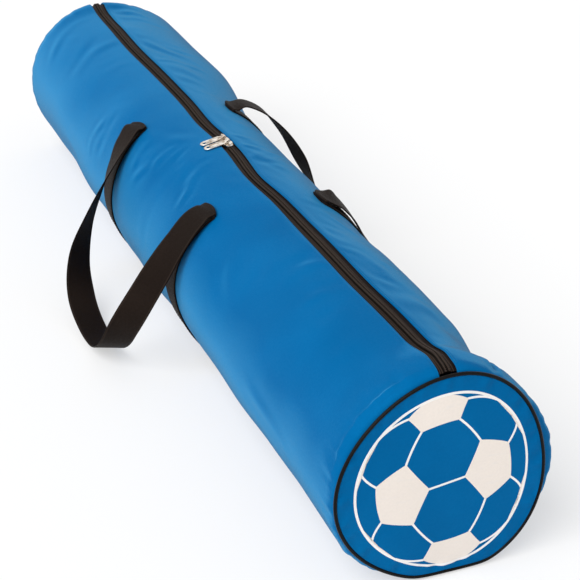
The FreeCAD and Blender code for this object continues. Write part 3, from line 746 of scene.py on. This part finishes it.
def zipCoil(name, x, side):
    # a rounded section carried along the zip, swelling once per tooth; the two halves swell in turn
    swell = (0.5 + 0.5 * np.cos(2 * math.pi * x / zipper["pitch"] + (math.pi if side > 0 else 0))) ** 0.7
    angle = ringAngles(zipper["coilSides"])
    low, halfGap = zipper["coilLow"], (zipper["coilHigh"] - zipper["coilLow"]) / 2
    parted = zipper["parted"] * rise(0.0090, 0.0070, np.abs(x))   # the slider's diamond stands between there
    inner = zipper["coilAt"] + zipper["teeth"][0] - zipper["teeth"][1] * swell + parted
    outer = zipper["coilAt"] + zipper["coilWidth"] - zipper["outerTeeth"] * (1 - swell)
    halfWide, halfHigh = (outer - inner) / 2, halfGap * (0.74 + 0.26 * swell)
    mid, midLevel = (outer + inner) / 2, low + halfHigh
    c, v = np.cos(angle), np.sin(angle)
    s = mid[:, None] + halfWide[:, None] * np.sign(c) * np.abs(c) ** 0.7
    level = midLevel[:, None] + halfHigh[:, None] * np.sign(v) * np.abs(v) ** 0.8
    rings = bagPoint(x[:, None], side * s / bag["radius"], level)
    mapped = paired(x[:, None], (angle * zipper["coilMap"])[None, :])
    return tubeSolid(name, rings, blackCoil, mapped, 60)


def zipFacing(name, x, side):
    # a strip of cloth under the sewn end of the zip
    s = np.linspace(facing["from"], facing["to"], 12)
    angle = side * s[None, :] / bag["radius"]
    top, bottom = (bagPoint(x[:, None], angle, facing[level]) for level in ("top", "bottom"))
    return sheetShell(name, top, bottom, blueCloth, paired(x[:, None], s[None, :]))


def runOf(low, high, step):
    # even stations from low to high, about a step apart
    return np.linspace(low, high, max(3, int(round((high - low) / step)) + 1))


coilStep = zipper["pitch"] / zipper["perPitch"]
mouthTo, sewnFrom = bag["mouthEnd"] - zipper["joint"], bag["mouthEnd"] + zipper["joint"]
for endName, end in ends.items():
    for sideName, side in sides.items():
        label = endName + sideName.capitalize()
        tape = zipTape(label + "ZipTape", end * runOf(0.0, mouthTo, zipper["tapeStep"]), side)
        coil = zipCoil(label + "ZipCoil", end * runOf(0.0, mouthTo, coilStep), side)
        for piece, node in ((tape, "_zip_tape"), (coil, "_zip_coil")):
            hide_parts(sideName + node)
            bendWithMouth(piece)
        x = end * runOf(sewnFrom, zipper["tapeStops"], zipper["endStep"])
        tape = zipTape(label + "ZipEndTape", x, side)
        coil = zipCoil(label + "ZipEndCoil", end * runOf(sewnFrom, zipper["coilStops"], coilStep), side)
        x = end * runOf(bag["mouthEnd"], facing["stops"], facing["step"])
        under = zipFacing(label + "ZipFacing", x, side)
        for piece, node in ((tape, "tape"), (coil, "coil"), (under, "facing")):
            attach(piece, "shell")
            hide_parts(f"{endName}_zip_end_{node}")
print("zip made")

# sliders and pull tabs: the modelled metal, with its edges broken
metal = {"weld": 0.00001, "steps": 3, "sharp": 28, "body": 0.00028, "tab": 0.00035}


def brokenEdges(name, node, body, width):
    # the modelled metal of a slider or a pull tab, its corners joined and its edges rounded to a width
    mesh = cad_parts[node].data.copy()
    mesh.name = name
    mesh.materials.clear()
    mesh.materials.append(brightNickel)
    piece = bpy.data.objects.new(name, mesh)
    scene.collection.objects.link(piece)
    piece.modifiers.new("weld", "WELD").merge_threshold = metal["weld"]
    soften = piece.modifiers.new("edges", "BEVEL")
    soften.width = width
    soften.segments = metal["steps"]
    soften.limit_method = "ANGLE"
    soften.angle_limit = math.radians(metal["sharp"])
    soften.harden_normals = False
    mesh.shade_smooth()
    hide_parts(node)
    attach(piece, body)


for endName in ends:
    brokenEdges(endName + "SliderBody", endName + "_slider", endName + "_slider", metal["body"])
    brokenEdges(endName + "PullTab", endName + "_pull_tab", endName + "_tab", metal["tab"])
print("sliders and tabs made")

# end discs, piping and seam binding
disc = {"swell": 0.0024, "edge": 0.0021, "wall": 0.0012, "lift": 0.0006, "broad": 0.0030, "tight": 0.0036,
        "pucker": 0.0008, "puckerFrom": (0.86, 0.97), "puckerTo": (1.0, 0.98), "rings": 34, "spokes": 180}
piping = {"radius": 0.0019, "sides": 14, "steps": 420, "mapped": 0.115}
binding = {"width": 0.011, "thick": 0.0024, "gap": 0.0004, "inset": 0.001}


def discFront(ring, end, y, z):
    # the disc's outer face over the point (y, z), rho out from its middle: a crown 1 - rho^2.4,
    # waves of two and five to the turn, and puckers at the seam
    u, v = y - ring["y"], z - bag["axis"] - ring["z"]
    theta = np.arctan2(u, v)
    rho = np.hypot(u, v) / (ringCurve(ring, theta) - disc["edge"])
    crown = disc["swell"] * (1 - np.clip(rho, 0, 1) ** 2.4)
    broad = disc["broad"] * np.sin(2 * theta + 0.7) * rho ** 2 * (1 - rho)
    tight = disc["tight"] * np.sin(5 * theta + 2) * rho ** 3 * (1 - rho)
    pucker = disc["pucker"] * (np.sin(19 * theta) + np.sin(31 * theta + 1) + 0.7 * np.sin(47 * theta))
    pucker = pucker * rise(*disc["puckerFrom"], rho) * rise(*disc["puckerTo"], rho)
    return ring["x"] + end * (disc["lift"] + crown + broad + tight + pucker)


def endDisc(name, ring, end):
    # rings of points from near the middle to the seam, the same again behind, a hub on each face and a rim
    rho = np.linspace(0, 1, disc["rings"])[1:, None]
    theta = ringAngles(disc["spokes"])[None, :]
    reach = rho * (ringCurve(ring, theta) - disc["edge"])
    cy, cz = ring["y"], bag["axis"] + ring["z"]
    y, z = cy + reach * np.sin(theta), cz + reach * np.cos(theta)
    front = np.stack([discFront(ring, end, y, z), y, z], -1)
    wall = np.array([end * disc["wall"], 0, 0])
    middle = np.array([[discFront(ring, end, cy, cz), cy, cz]])
    points = np.concatenate([front.reshape(-1, 3), (front - wall).reshape(-1, 3), middle, middle - wall])
    rows, cols = front.shape[:2]
    count, flip = rows * cols, end < 0
    faces = gridFaces(rows, cols, wrapCols=True, flip=not flip)
    faces += gridFaces(rows, cols, wrapCols=True, flip=flip, first=count)
    here = np.arange(cols)
    after = np.roll(here, -1)
    hub = np.stack([np.full(cols, 2 * count), after, here], -1)
    hubBack = np.stack([np.full(cols, 2 * count + 1), here + count, after + count], -1)
    rim = np.stack([after, here, here + count, after + count], -1) + (rows - 1) * cols
    for part in (hub, hubBack, rim):
        faces += (part[:, ::-1] if flip else part).tolist()
    piece = makePiece(name, points, faces, blueCloth, points[:, 1:])
    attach(piece, "shell")
    return piece


def ringTube(name, ring, section, finish, inset=0.0):
    # a closed section (out, along) carried round the seam's curve, square to it
    theta = ringAngles(piping["steps"])
    reach = ringCurve(ring, theta) - inset
    base = np.stack([np.full_like(theta, ring["x"]), ring["y"] + reach * np.sin(theta),
                     bag["axis"] + ring["z"] + reach * np.cos(theta)], -1)
    along = np.roll(base, -1, 0) - np.roll(base, 1, 0)
    out = unit(np.cross(along, [-1.0, 0, 0]))
    rings = base[:, None] + out[:, None] * section[None, :, :1] + np.array([1.0, 0, 0]) * section[None, :, 1:]
    rows, cols = rings.shape[:2]
    index = np.arange(rows * cols).reshape(rows, cols)
    below, beside = np.roll(index, -1, 0), np.roll(index, -1, 1)
    quads = np.stack([index, below, np.roll(below, -1, 1), beside], -1).reshape(-1, 4)
    way, edge = rings[1, 0] - rings[0, 0], rings[0, 1] - rings[0, 0]
    if np.dot(np.cross(way, edge), rings[0, 0] - rings[0].mean(0)) < 0:
        quads = quads[:, ::-1]
    mapped = paired((theta * piping["mapped"])[:, None], runLength(section)[None, :])
    piece = makePiece(name, rings, quads.tolist(), finish, mapped)
    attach(piece, "shell")
    return piece


def cordSection():
    # a circle of the piping's radius
    turnBy = ringAngles(piping["sides"])
    return np.stack([np.cos(turnBy), np.sin(turnBy)], -1) * piping["radius"]


def bindingSection(end):
    # a flat band with half-round edges, inwards from the seam and behind the disc
    turnBy, half = np.linspace(0, math.pi, 6), binding["thick"] / 2
    tip = np.stack([half * np.sin(turnBy), half * np.cos(turnBy)], -1)
    section = np.concatenate([tip - [[half, 0]], -tip + [[-binding["width"] + half, 0]]])
    return section - [[0, end * (half + disc["wall"] + binding["gap"])]]


for endName, ring in seams.items():
    end = ends[endName]
    face = endDisc(endName + "EndDisc", ring, end)
    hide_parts(endName + "_end_disc")
    cord = ringTube(endName + "Piping", ring, cordSection(), blackPiping)
    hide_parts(endName + "_end_piping")
    tapeRing = ringTube(endName + "SeamBinding", ring, bindingSection(end), bindingTape,
                        piping["radius"] + binding["inset"])
    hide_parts(endName + "_seam_binding")
print("ends made")

# the football figure, from a truncated icosahedron seen straight on
figure = {"radius": 0.0977, "y": -0.0009, "z": -0.0012, "turn": 7.2, "spread": 0.103, "wide": 0.982,
          "tall": 1.045, "waves": (-0.015, 0.022), "lean": (0.0026, -0.0012), "line": 0.0012, "hoop": 1.1,
          "grow": 1.045, "rimBelow": 0.30, "edgeOn": 0.5, "behind": 0.0003, "patch": 0.00020,
          "lineLevel": 0.00015, "ringLevel": 0.00026, "steps": 12, "rings": 7, "along": 20, "round": 220}
golden = (1 + math.sqrt(5)) / 2


def ballShape():
    # corners: even turns of (0, 1, 3g), (1, 2 + g, 2g) and (g, 2, 2g + 1) with every sign, g golden; then the
    # pentagons' middles, the pentagon that owns each corner, and the pairs of corners that share an edge
    base = np.array([(0, 1, 3 * golden), (1, 2 + golden, 2 * golden), (golden, 2, 2 * golden + 1)])
    turned = np.concatenate([np.roll(base, k, axis=1) for k in range(3)])
    signs = np.array([(a, b, c) for a in (1, -1) for b in (1, -1) for c in (1, -1)])
    corners = unit(np.unique(np.round((turned[:, None] * signs[None]).reshape(-1, 3), 9), axis=0))
    apart = np.linalg.norm(corners[:, None] - corners[None], axis=-1)
    pairs = np.argwhere(np.triu(np.abs(apart - apart[apart > 1e-6].min()) < 1e-6))
    middles = [v for s in (-1, 1) for g in (-golden, golden) for v in ((0, s, g), (s, g, 0), (g, 0, s))]
    middles = unit(np.array(middles))
    owner = np.linalg.norm(corners[:, None] - middles[None], axis=-1).argmin(1)
    return corners, middles, owner, pairs


def drawnToRim(corners, middles, owner):
    # the four pentagons seen edge on are turned outwards, and corners behind or near the rim are moved to it
    edgeOn = np.abs(middles[owner, 2]) < 0.1
    corners = np.where(edgeOn[:, None], unit(corners * [1, 1, figure["edgeOn"]]), corners)
    atRim = (corners[:, 2] < 0) | (~edgeOn & (corners[:, 2] < figure["rimBelow"]))
    return np.where(atRim[:, None], unit(corners * [1, 1, 0]) - [0, 0, 0.01], corners)


def ontoDisc(right, up):
    # flat (y, z) places: waves of two and three to the turn that grow outwards, and a lean of the middle
    theta, far = np.arctan2(right, up), np.minimum((right ** 2 + up ** 2) / figure["radius"] ** 2, 1)
    pull = 1 + far * (figure["waves"][0] * np.sin(2 * theta) + figure["waves"][1] * np.sin(3 * theta))
    y = figure["y"] + right * pull * figure["wide"] + figure["lean"][0] * (1 - far)
    z = bag["axis"] + figure["z"] + up * pull * figure["tall"] + figure["lean"][1] * (1 - far)
    return np.stack([y, z], -1)


def onDisc(v):
    # a point of the ball, seen along its z: inner points move out by 1 + spread (1 - reach^2), hidden ones to
    # the rim, and the figure is turned as a whole
    reach = np.hypot(v[..., 0], v[..., 1])
    seen = 1 + figure["spread"] * (1 - reach ** 2)
    scale = figure["radius"] * np.where(v[..., 2] < 0, 1 / np.maximum(reach, 1e-6), seen)
    right, up = v[..., 1] * scale, -v[..., 0] * scale
    c, s = math.cos(math.radians(figure["turn"])), math.sin(math.radians(figure["turn"]))
    return ontoDisc(right * c - up * s, right * s + up * c)


def printed(flat, level):
    # lays flat (y, z) points on the end disc at a small height
    x = discFront(seams["near"], 1, flat[..., 0], flat[..., 1]) + level
    return np.concatenate([x[..., None], flat], -1)


def pentagonPatches(corners, middles, owner):
    # each pentagon that is seen: its border goes along the ball's edges, grown a little,
    # and rings of points shrink from there to its heart
    points, faces, count = [], [], 0
    t = (np.arange(figure["steps"]) / figure["steps"])[None, :, None]
    for k, middle in enumerate(middles):
        five = corners[owner == k]
        if five[:, 2].max() < 0:
            continue
        first = unit(five[0] - middle * (five[0] @ middle))
        second = np.cross(middle, first)
        five = five[np.argsort(np.arctan2(five @ second, five @ first))]
        border = unit(five[:, None] * (1 - t) + np.roll(five, -1, 0)[:, None] * t)
        border = onDisc(unit(middle + (border.reshape(-1, 3) - middle) * figure["grow"]))
        heart = border.mean(0)
        inwards = np.linspace(1, 0, figure["rings"])[:-1, None, None]
        patch = printed(heart + (border[None] - heart) * inwards, figure["patch"])
        rows, cols = patch.shape[:2]
        points += [patch.reshape(-1, 3), printed(heart[None], figure["patch"])]
        faces += gridFaces(rows, cols, wrapCols=True, first=count)
        tip, inner = count + rows * cols, count + (rows - 1) * cols + np.arange(cols)
        faces += np.stack([inner, np.full(cols, tip), np.roll(inner, -1)], -1).tolist()
        count += rows * cols + 1
    return points, faces


def seamLines(corners, owner, pairs):
    # a strip along each edge of the ball that joins two pentagons, and a hoop round the whole figure
    points, faces, count = [], [], 0
    t = np.linspace(0, 1, figure["along"])[:, None]
    for i, j in pairs:
        a, b = corners[i], corners[j]
        if owner[i] == owner[j] or max(a[2], b[2]) < 0:
            continue
        line = onDisc(unit(a * (1 - t) + b * t))
        line = line[np.concatenate([[True], np.linalg.norm(np.diff(line, axis=0), axis=1) > 1e-5])]
        if len(line) < 3:
            continue
        way = unit(np.gradient(line, axis=0))
        off = np.stack([-way[:, 1], way[:, 0]], -1) * figure["line"]
        strip = printed(np.stack([line + off, line, line - off], 1), figure["lineLevel"])
        points.append(strip.reshape(-1, 3))
        faces += gridFaces(*strip.shape[:2], first=count)
        count += strip.shape[0] * strip.shape[1]
    theta = ringAngles(figure["round"])
    reach = figure["radius"] + figure["line"] * figure["hoop"] * np.array([1, 0, -1])
    hoop = ontoDisc(reach[:, None] * np.sin(theta), reach[:, None] * np.cos(theta))
    points.append(printed(hoop, figure["ringLevel"]).reshape(-1, 3))
    faces += gridFaces(len(reach), len(theta), wrapCols=True, first=count)
    return points, faces


def inkLayer(name, points, faces, finish):
    # closes a printed layer: every face is turned to look along +X, a copy lies behind, a rim joins the two
    points = np.concatenate(points)
    corner = np.array([f[:3] for f in faces])
    away = np.cross(points[corner[:, 1]] - points[corner[:, 0]], points[corner[:, 2]] - points[corner[:, 0]])
    faces = [f[::-1] if back else f for f, back in zip(faces, away[:, 0] < 0)]
    edges = {(f[i - 1], f[i]) for f in faces for i in range(len(f))}
    rim = [[b, a, a + len(points), b + len(points)] for a, b in edges if (b, a) not in edges]
    faces = faces + [[i + len(points) for i in f[::-1]] for f in faces] + rim
    points = np.concatenate([points, points - [figure["behind"], 0, 0]])
    layer = makePiece(name, points, faces, finish, points[:, 1:], 40)
    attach(layer, "shell")
    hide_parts("football_print")
    print(name, "printed:", len(faces), "faces")


corners, middles, owner, pairs = ballShape()
corners = drawnToRim(corners, middles, owner)
inkLayer("footballPatches", *pentagonPatches(corners, middles, owner), creamInk)
inkLayer("footballLines", *seamLines(corners, owner, pairs), whiteInk)

# sewn bands and handles
strap = {"fold": 0.00115, "turnSteps": 10, "lead": 0.003, "step": 0.004, "bow": 0.0042, "bowRun": 0.014}
# stations of each free handle strap: middle of the webbing in millimetres, and the direction from its inner
# to its outer edge
leftStrap = [(153, -79, 218, 1, .02, -.02), (154, -92, 211, .98, .14, -.15),
             (156, -121, 181, .93, .29, -.24), (155, -147, 144, .77, .5, -.4),
             (150, -169, 107, .64, .61, -.47), (137, -186, 70, .37, .81, -.45),
             (114, -194, 36, .17, .95, -.26), (72, -196, 11, .02, .98, -.16), (44, -197, 8, -.03, .99, -.12),
             (15, -198, 11, -.03, .99, -.12), (-39, -197, 31, .03, .99, -.17),
             (-82, -186, 66, -.27, .79, -.55), (-110, -162, 109, -.69, .41, -.6),
             (-128, -130, 157, -.9, .19, -.39), (-144, -97, 203, -.98, -.16, -.12),
             (-150, -80, 218, -.96, -.22, -.13)]
rightStrap = [(187, 76, 221, .97, .02, -.24), (180, 91, 205, .95, .11, -.30),
              (162, 116, 170, .93, .07, -.36), (148, 137, 134, .96, -.06, -.29),
              (138, 160, 88, .80, -.40, -.45), (119, 180, 45, .22, -.84, -.42),
              (79, 190, 13, -.02, -.97, -.18), (53, 191, 8, -.02, -.98, -.12),
              (25, 191, 11, -.05, -.97, -.2), (-29, 181, 42, -.42, -.58, -.70),
              (-76, 163, 98, -.82, .31, -.48), (-110, 146, 152, -.86, -.04, -.50),
              (-132, 125, 192, -.93, .12, -.36), (-146, 96, 221, -.97, .21, -.12),
              (-151, 78, 228, -.99, .12, -.06)]


def webSection():
    # the webbing's flat section with half-round edges: (across, up), going once round
    half, r = band["half"], band["thick"] / 2
    bend = np.linspace(-math.pi / 2, math.pi / 2, 6)
    edge = np.stack([half - r + r * np.cos(bend), r * np.sin(bend)], -1)
    flat = np.linspace(half - r, -half + r, band["across"] + 2)[1:-1]
    top = np.stack([flat, np.full(band["across"], r)], -1)
    return np.concatenate([edge, top, -edge, -top])


def webRun(name, middle, across, bow):
    # the section carried along a run of middles, kept square to it; bow draws its two edges back at the folds
    section = webSection()
    way = unit(np.gradient(middle, axis=0))
    wide = unit(across - way * np.sum(across * way, -1, keepdims=True))
    up = np.cross(way, wide)
    rings = middle[:, None] + wide[:, None] * section[None, :, :1] + up[:, None] * section[None, :, 1:]
    rings = rings + bow[:, None] * (section[None, :, :1] / band["half"]) ** 2
    length = runLength(middle)
    mapped = paired(length[:, None], section[None, :, 0])
    return tubeSolid(name, rings, blackWeb, mapped), length[-1]


def foldFrame(side, degrees, slant):
    # the fold's middle, the way out of the bag, the fold's own line and the way up square to it
    phi, turned = math.radians(degrees), math.radians(slant)
    out = np.array([0, math.sin(phi), math.cos(phi)])
    up, ahead = np.array([0, -math.cos(phi) * side, math.sin(phi) * side]), np.array([1.0, 0, 0])
    line = ahead * math.cos(turned) + up * math.sin(turned)
    up = up * math.cos(turned) - ahead * math.sin(turned)
    return np.array([0, 0, bag["axis"]]) + band["pivot"] * out, out, line, up


def handleRun(side, degrees, nearX, slants, stations):
    # half a turn round the near fold, the free strap, half a turn round the far fold
    turns = strap["turnSteps"]
    turnBy = np.linspace(-math.pi / 2, math.pi / 2, turns + 1)[:, None]
    curls, tops, lines, bows = [], [], [], []
    for x, slant in zip((nearX, -band["x"]), slants):
        pivot, out, line, up = foldFrame(side, degrees, slant)
        pivot = pivot + [x, 0, 0]
        curls.append(pivot + strap["fold"] * (np.cos(turnBy) * up + np.sin(turnBy) * out))
        top = pivot + strap["fold"] * out
        tops.append(np.array([top, top - up * strap["lead"]]))
        lines.append(line)
        bows.append(-strap["bow"] * up)
    table = np.array(stations)
    middle = np.concatenate([tops[0], table[:, :3] / 1000, tops[1][::-1]])
    wide = np.concatenate([[lines[0]] * 2, table[:, 3:], [-lines[1]] * 2])
    place = runLength(middle)
    at = np.linspace(0, place[-1], int(place[-1] / strap["step"]))
    free, freeWide = smoothRun(middle, place, at), unit(smoothRun(wide, place, at))
    freeBow = (bows[0] * bell(at, 0, strap["bowRun"])[:, None]
               + bows[1] * bell(place[-1] - at, 0, strap["bowRun"])[:, None])
    middle = np.concatenate([curls[0][:-1], free, curls[1][::-1][1:]])
    wide = np.concatenate([np.repeat([lines[0]], turns, 0), freeWide, np.repeat([-lines[1]], turns, 0)])
    bow = np.concatenate([np.repeat([bows[0]], turns, 0), freeBow, np.repeat([bows[1]], turns, 0)])
    return middle, wide, bow


def sewnBand(endName):
    # webbing laid round the bag under its weight, from the right fold down and up to the left fold
    name, end, near = endName + "SewnBand", ends[endName], endName == "near"
    start, stop = math.radians(band["rightFold"]), math.radians(360 + band["leftFold"])
    angle = np.linspace(start, stop, 210)
    phi = np.where(angle > math.pi, angle - 2 * math.pi, angle)
    x = end * (band["x"] + (band["skew"] if near else 0) * (bag["radius"] * np.sin(phi) - band["fromY"]))
    x = x - band["stray"][0 if near else 1] * bell(phi, -1.75, 0.5)
    section = webSection()
    wide, level = section[None, :, 0], 0.0001 + band["thick"] / 2 + section[:, 1]
    grid = x[:, None] + wide
    slant = math.tan(math.radians(band["slant"])) * rise(-1.0, -0.62, phi) * (phi < 0) * (not near)
    length = (angle - start) * bag["radius"]
    bow = strap["bow"] * (bell(length, 0, strap["bowRun"]) - bell(length[-1] - length, 0, strap["bowRun"]))
    shift = slant[:, None] * wide + bow[:, None] * (wide / band["half"]) ** 2
    rings = bagPoint(grid, phi[:, None] + shift / bag["radius"], np.broadcast_to(level, grid.shape))
    piece = tubeSolid(name, rings, blackWeb, paired(length[:, None], wide))
    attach(piece, "shell")
    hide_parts(endName + "_girth_band")
    bandStitches(name + "Stitches", x, phi)


sewing = {"pitch": 0.0042, "length": 0.0031, "off": 0.0155, "from": 0.006, "before": 0.009,
          "thread": 0.00028, "threadUp": 0.0001}


def alongBand(x, phi, share, off, level):
    # a point over the cloth, a share of the way along a band and off its middle
    k, steps = share * (len(phi) - 1), np.arange(len(phi))
    turned = (np.interp(k, steps, np.unwrap(phi)) + math.pi) % (2 * math.pi) - math.pi
    return bagPoint(np.interp(k, steps, x) + off, turned, level)


def bandStitches(name, x, phi):
    # two rows of stitches along each band, near its edges
    run = bag["radius"] * math.radians(360 + band["leftFold"] - band["rightFold"])
    at = np.arange(sewing["from"], run - sewing["before"], sewing["pitch"])
    top = band["thick"] + sewing["threadUp"]
    starts, stops, ups = [], [], []
    for off in (-sewing["off"], sewing["off"]):
        starts.append(alongBand(x, phi, at / run, off, top))
        stops.append(alongBand(x, phi, (at + sewing["length"]) / run, off, top))
        middle = (at + sewing["length"] / 2) / run
        ups.append(unit(alongBand(x, phi, middle, off, 0.001) - alongBand(x, phi, middle, off, 0)))
    starts, stops, ups = (np.concatenate(v) for v in (starts, stops, ups))
    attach(stitchRow(name, starts, stops, ups, sewing["thread"], blackThread), "shell")


for endName in ends:
    sewnBand(endName)
print("sewn bands made")
rightX = band["x"] + band["skew"] * (band["rightY"] - band["fromY"])
handles = {"left": (-1, band["leftFold"], band["x"], (0, band["slant"]), leftStrap),
           "right": (1, band["rightFold"], rightX, (0, 0), rightStrap)}
for sideName, settings in handles.items():
    piece, length = webRun(sideName + "Handle", *handleRun(*settings))
    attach(piece, sideName + "_handle")
    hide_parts(sideName + "_handle")
    lowest = min(v.co.z for v in piece.data.vertices)
    print(sideName, "handle strap", round(length, 3), "m, lowest", round(lowest, 4))

# floor and light
stage = {"floor": (0.95, 0.95, 0.95), "half": 9, "cloud": 1.5, "cloudShare": 0.2, "paler": 1.01,
         "rough": 0.95, "plain": 0.52, "sky": 0.52, "sun": 2.5, "sunFrom": (0.32, -0.62, 0.72),
         "sunAngle": 50}


def straightRay(n):
    # 1 for what the camera sees, directly, in gloss or through a clear part
    seen = n.add("ShaderNodeLightPath").outputs
    direct = n.math("MAXIMUM", seen["Is Camera Ray"], seen["Is Glossy Ray"])
    return n.math("MAXIMUM", direct, seen["Is Transmission Ray"])


def paleFloor():
    # a flat square, of which the camera sees part plain white, part the lit floor with its shadow
    far = stage["half"]
    mesh = bpy.data.meshes.new("paleFloor")
    mesh.from_pydata([(-far, -far, 0), (far, -far, 0), (far, far, 0), (-far, far, 0)], [], [(0, 1, 2, 3)])
    made, n, shader, where = newFinish("paleFloor", "object")
    share = n.ramp(n.noise(where, stage["cloud"], 2.0), *grainFrom, 0.0, stage["cloudShare"])
    paler = [c * stage["paler"] for c in stage["floor"]]
    n.put(shader["Base Color"], n.mix(share, (*stage["floor"], 1), (*paler, 1)))
    shader["Roughness"].default_value = stage["rough"]
    shader["Specular IOR Level"].default_value = 0.0
    pale = n.add("ShaderNodeEmission")
    pale.inputs["Strength"].default_value = 1.0
    both = n.add("ShaderNodeMixShader")
    n.put(both.inputs[0], n.math("MULTIPLY", straightRay(n), stage["plain"]))
    n.put(both.inputs[1], made.node_tree.nodes["Principled BSDF"].outputs[0])
    n.put(both.inputs[2], pale.outputs[0])
    n.put(made.node_tree.nodes["Material Output"].inputs["Surface"], both.outputs[0])
    mesh.materials.append(made)
    floor = bpy.data.objects.new("paleFloor", mesh)
    scene.collection.objects.link(floor)


def skyLight():
    # a plain soft light; the camera, gloss and clear parts see plain white
    world = bpy.data.worlds.new("studioSky")
    world.use_nodes = True
    scene.world = world
    n = nodeMaker(world.node_tree)
    world.node_tree.nodes.clear()
    back = n.add("ShaderNodeBackground")
    back.inputs["Color"].default_value = (1, 1, 1, 1)
    n.put(back.inputs["Strength"], n.ramp(straightRay(n), 0, 1, stage["sky"], 1.0))
    n.put(n.add("ShaderNodeOutputWorld").inputs[0], back.outputs[0])


def softSun():
    # one broad sun from the near left
    light = bpy.data.lights.new("softSun", "SUN")
    light.energy = stage["sun"]
    light.angle = math.radians(stage["sunAngle"])
    lamp = bpy.data.objects.new("softSun", light)
    lamp.rotation_euler = Vector(stage["sunFrom"]).to_track_quat("Z", "Y").to_euler()
    scene.collection.objects.link(lamp)


paleFloor()
skyLight()
softSun()
print("floor and light set")
scene.view_settings.view_transform = "Standard"
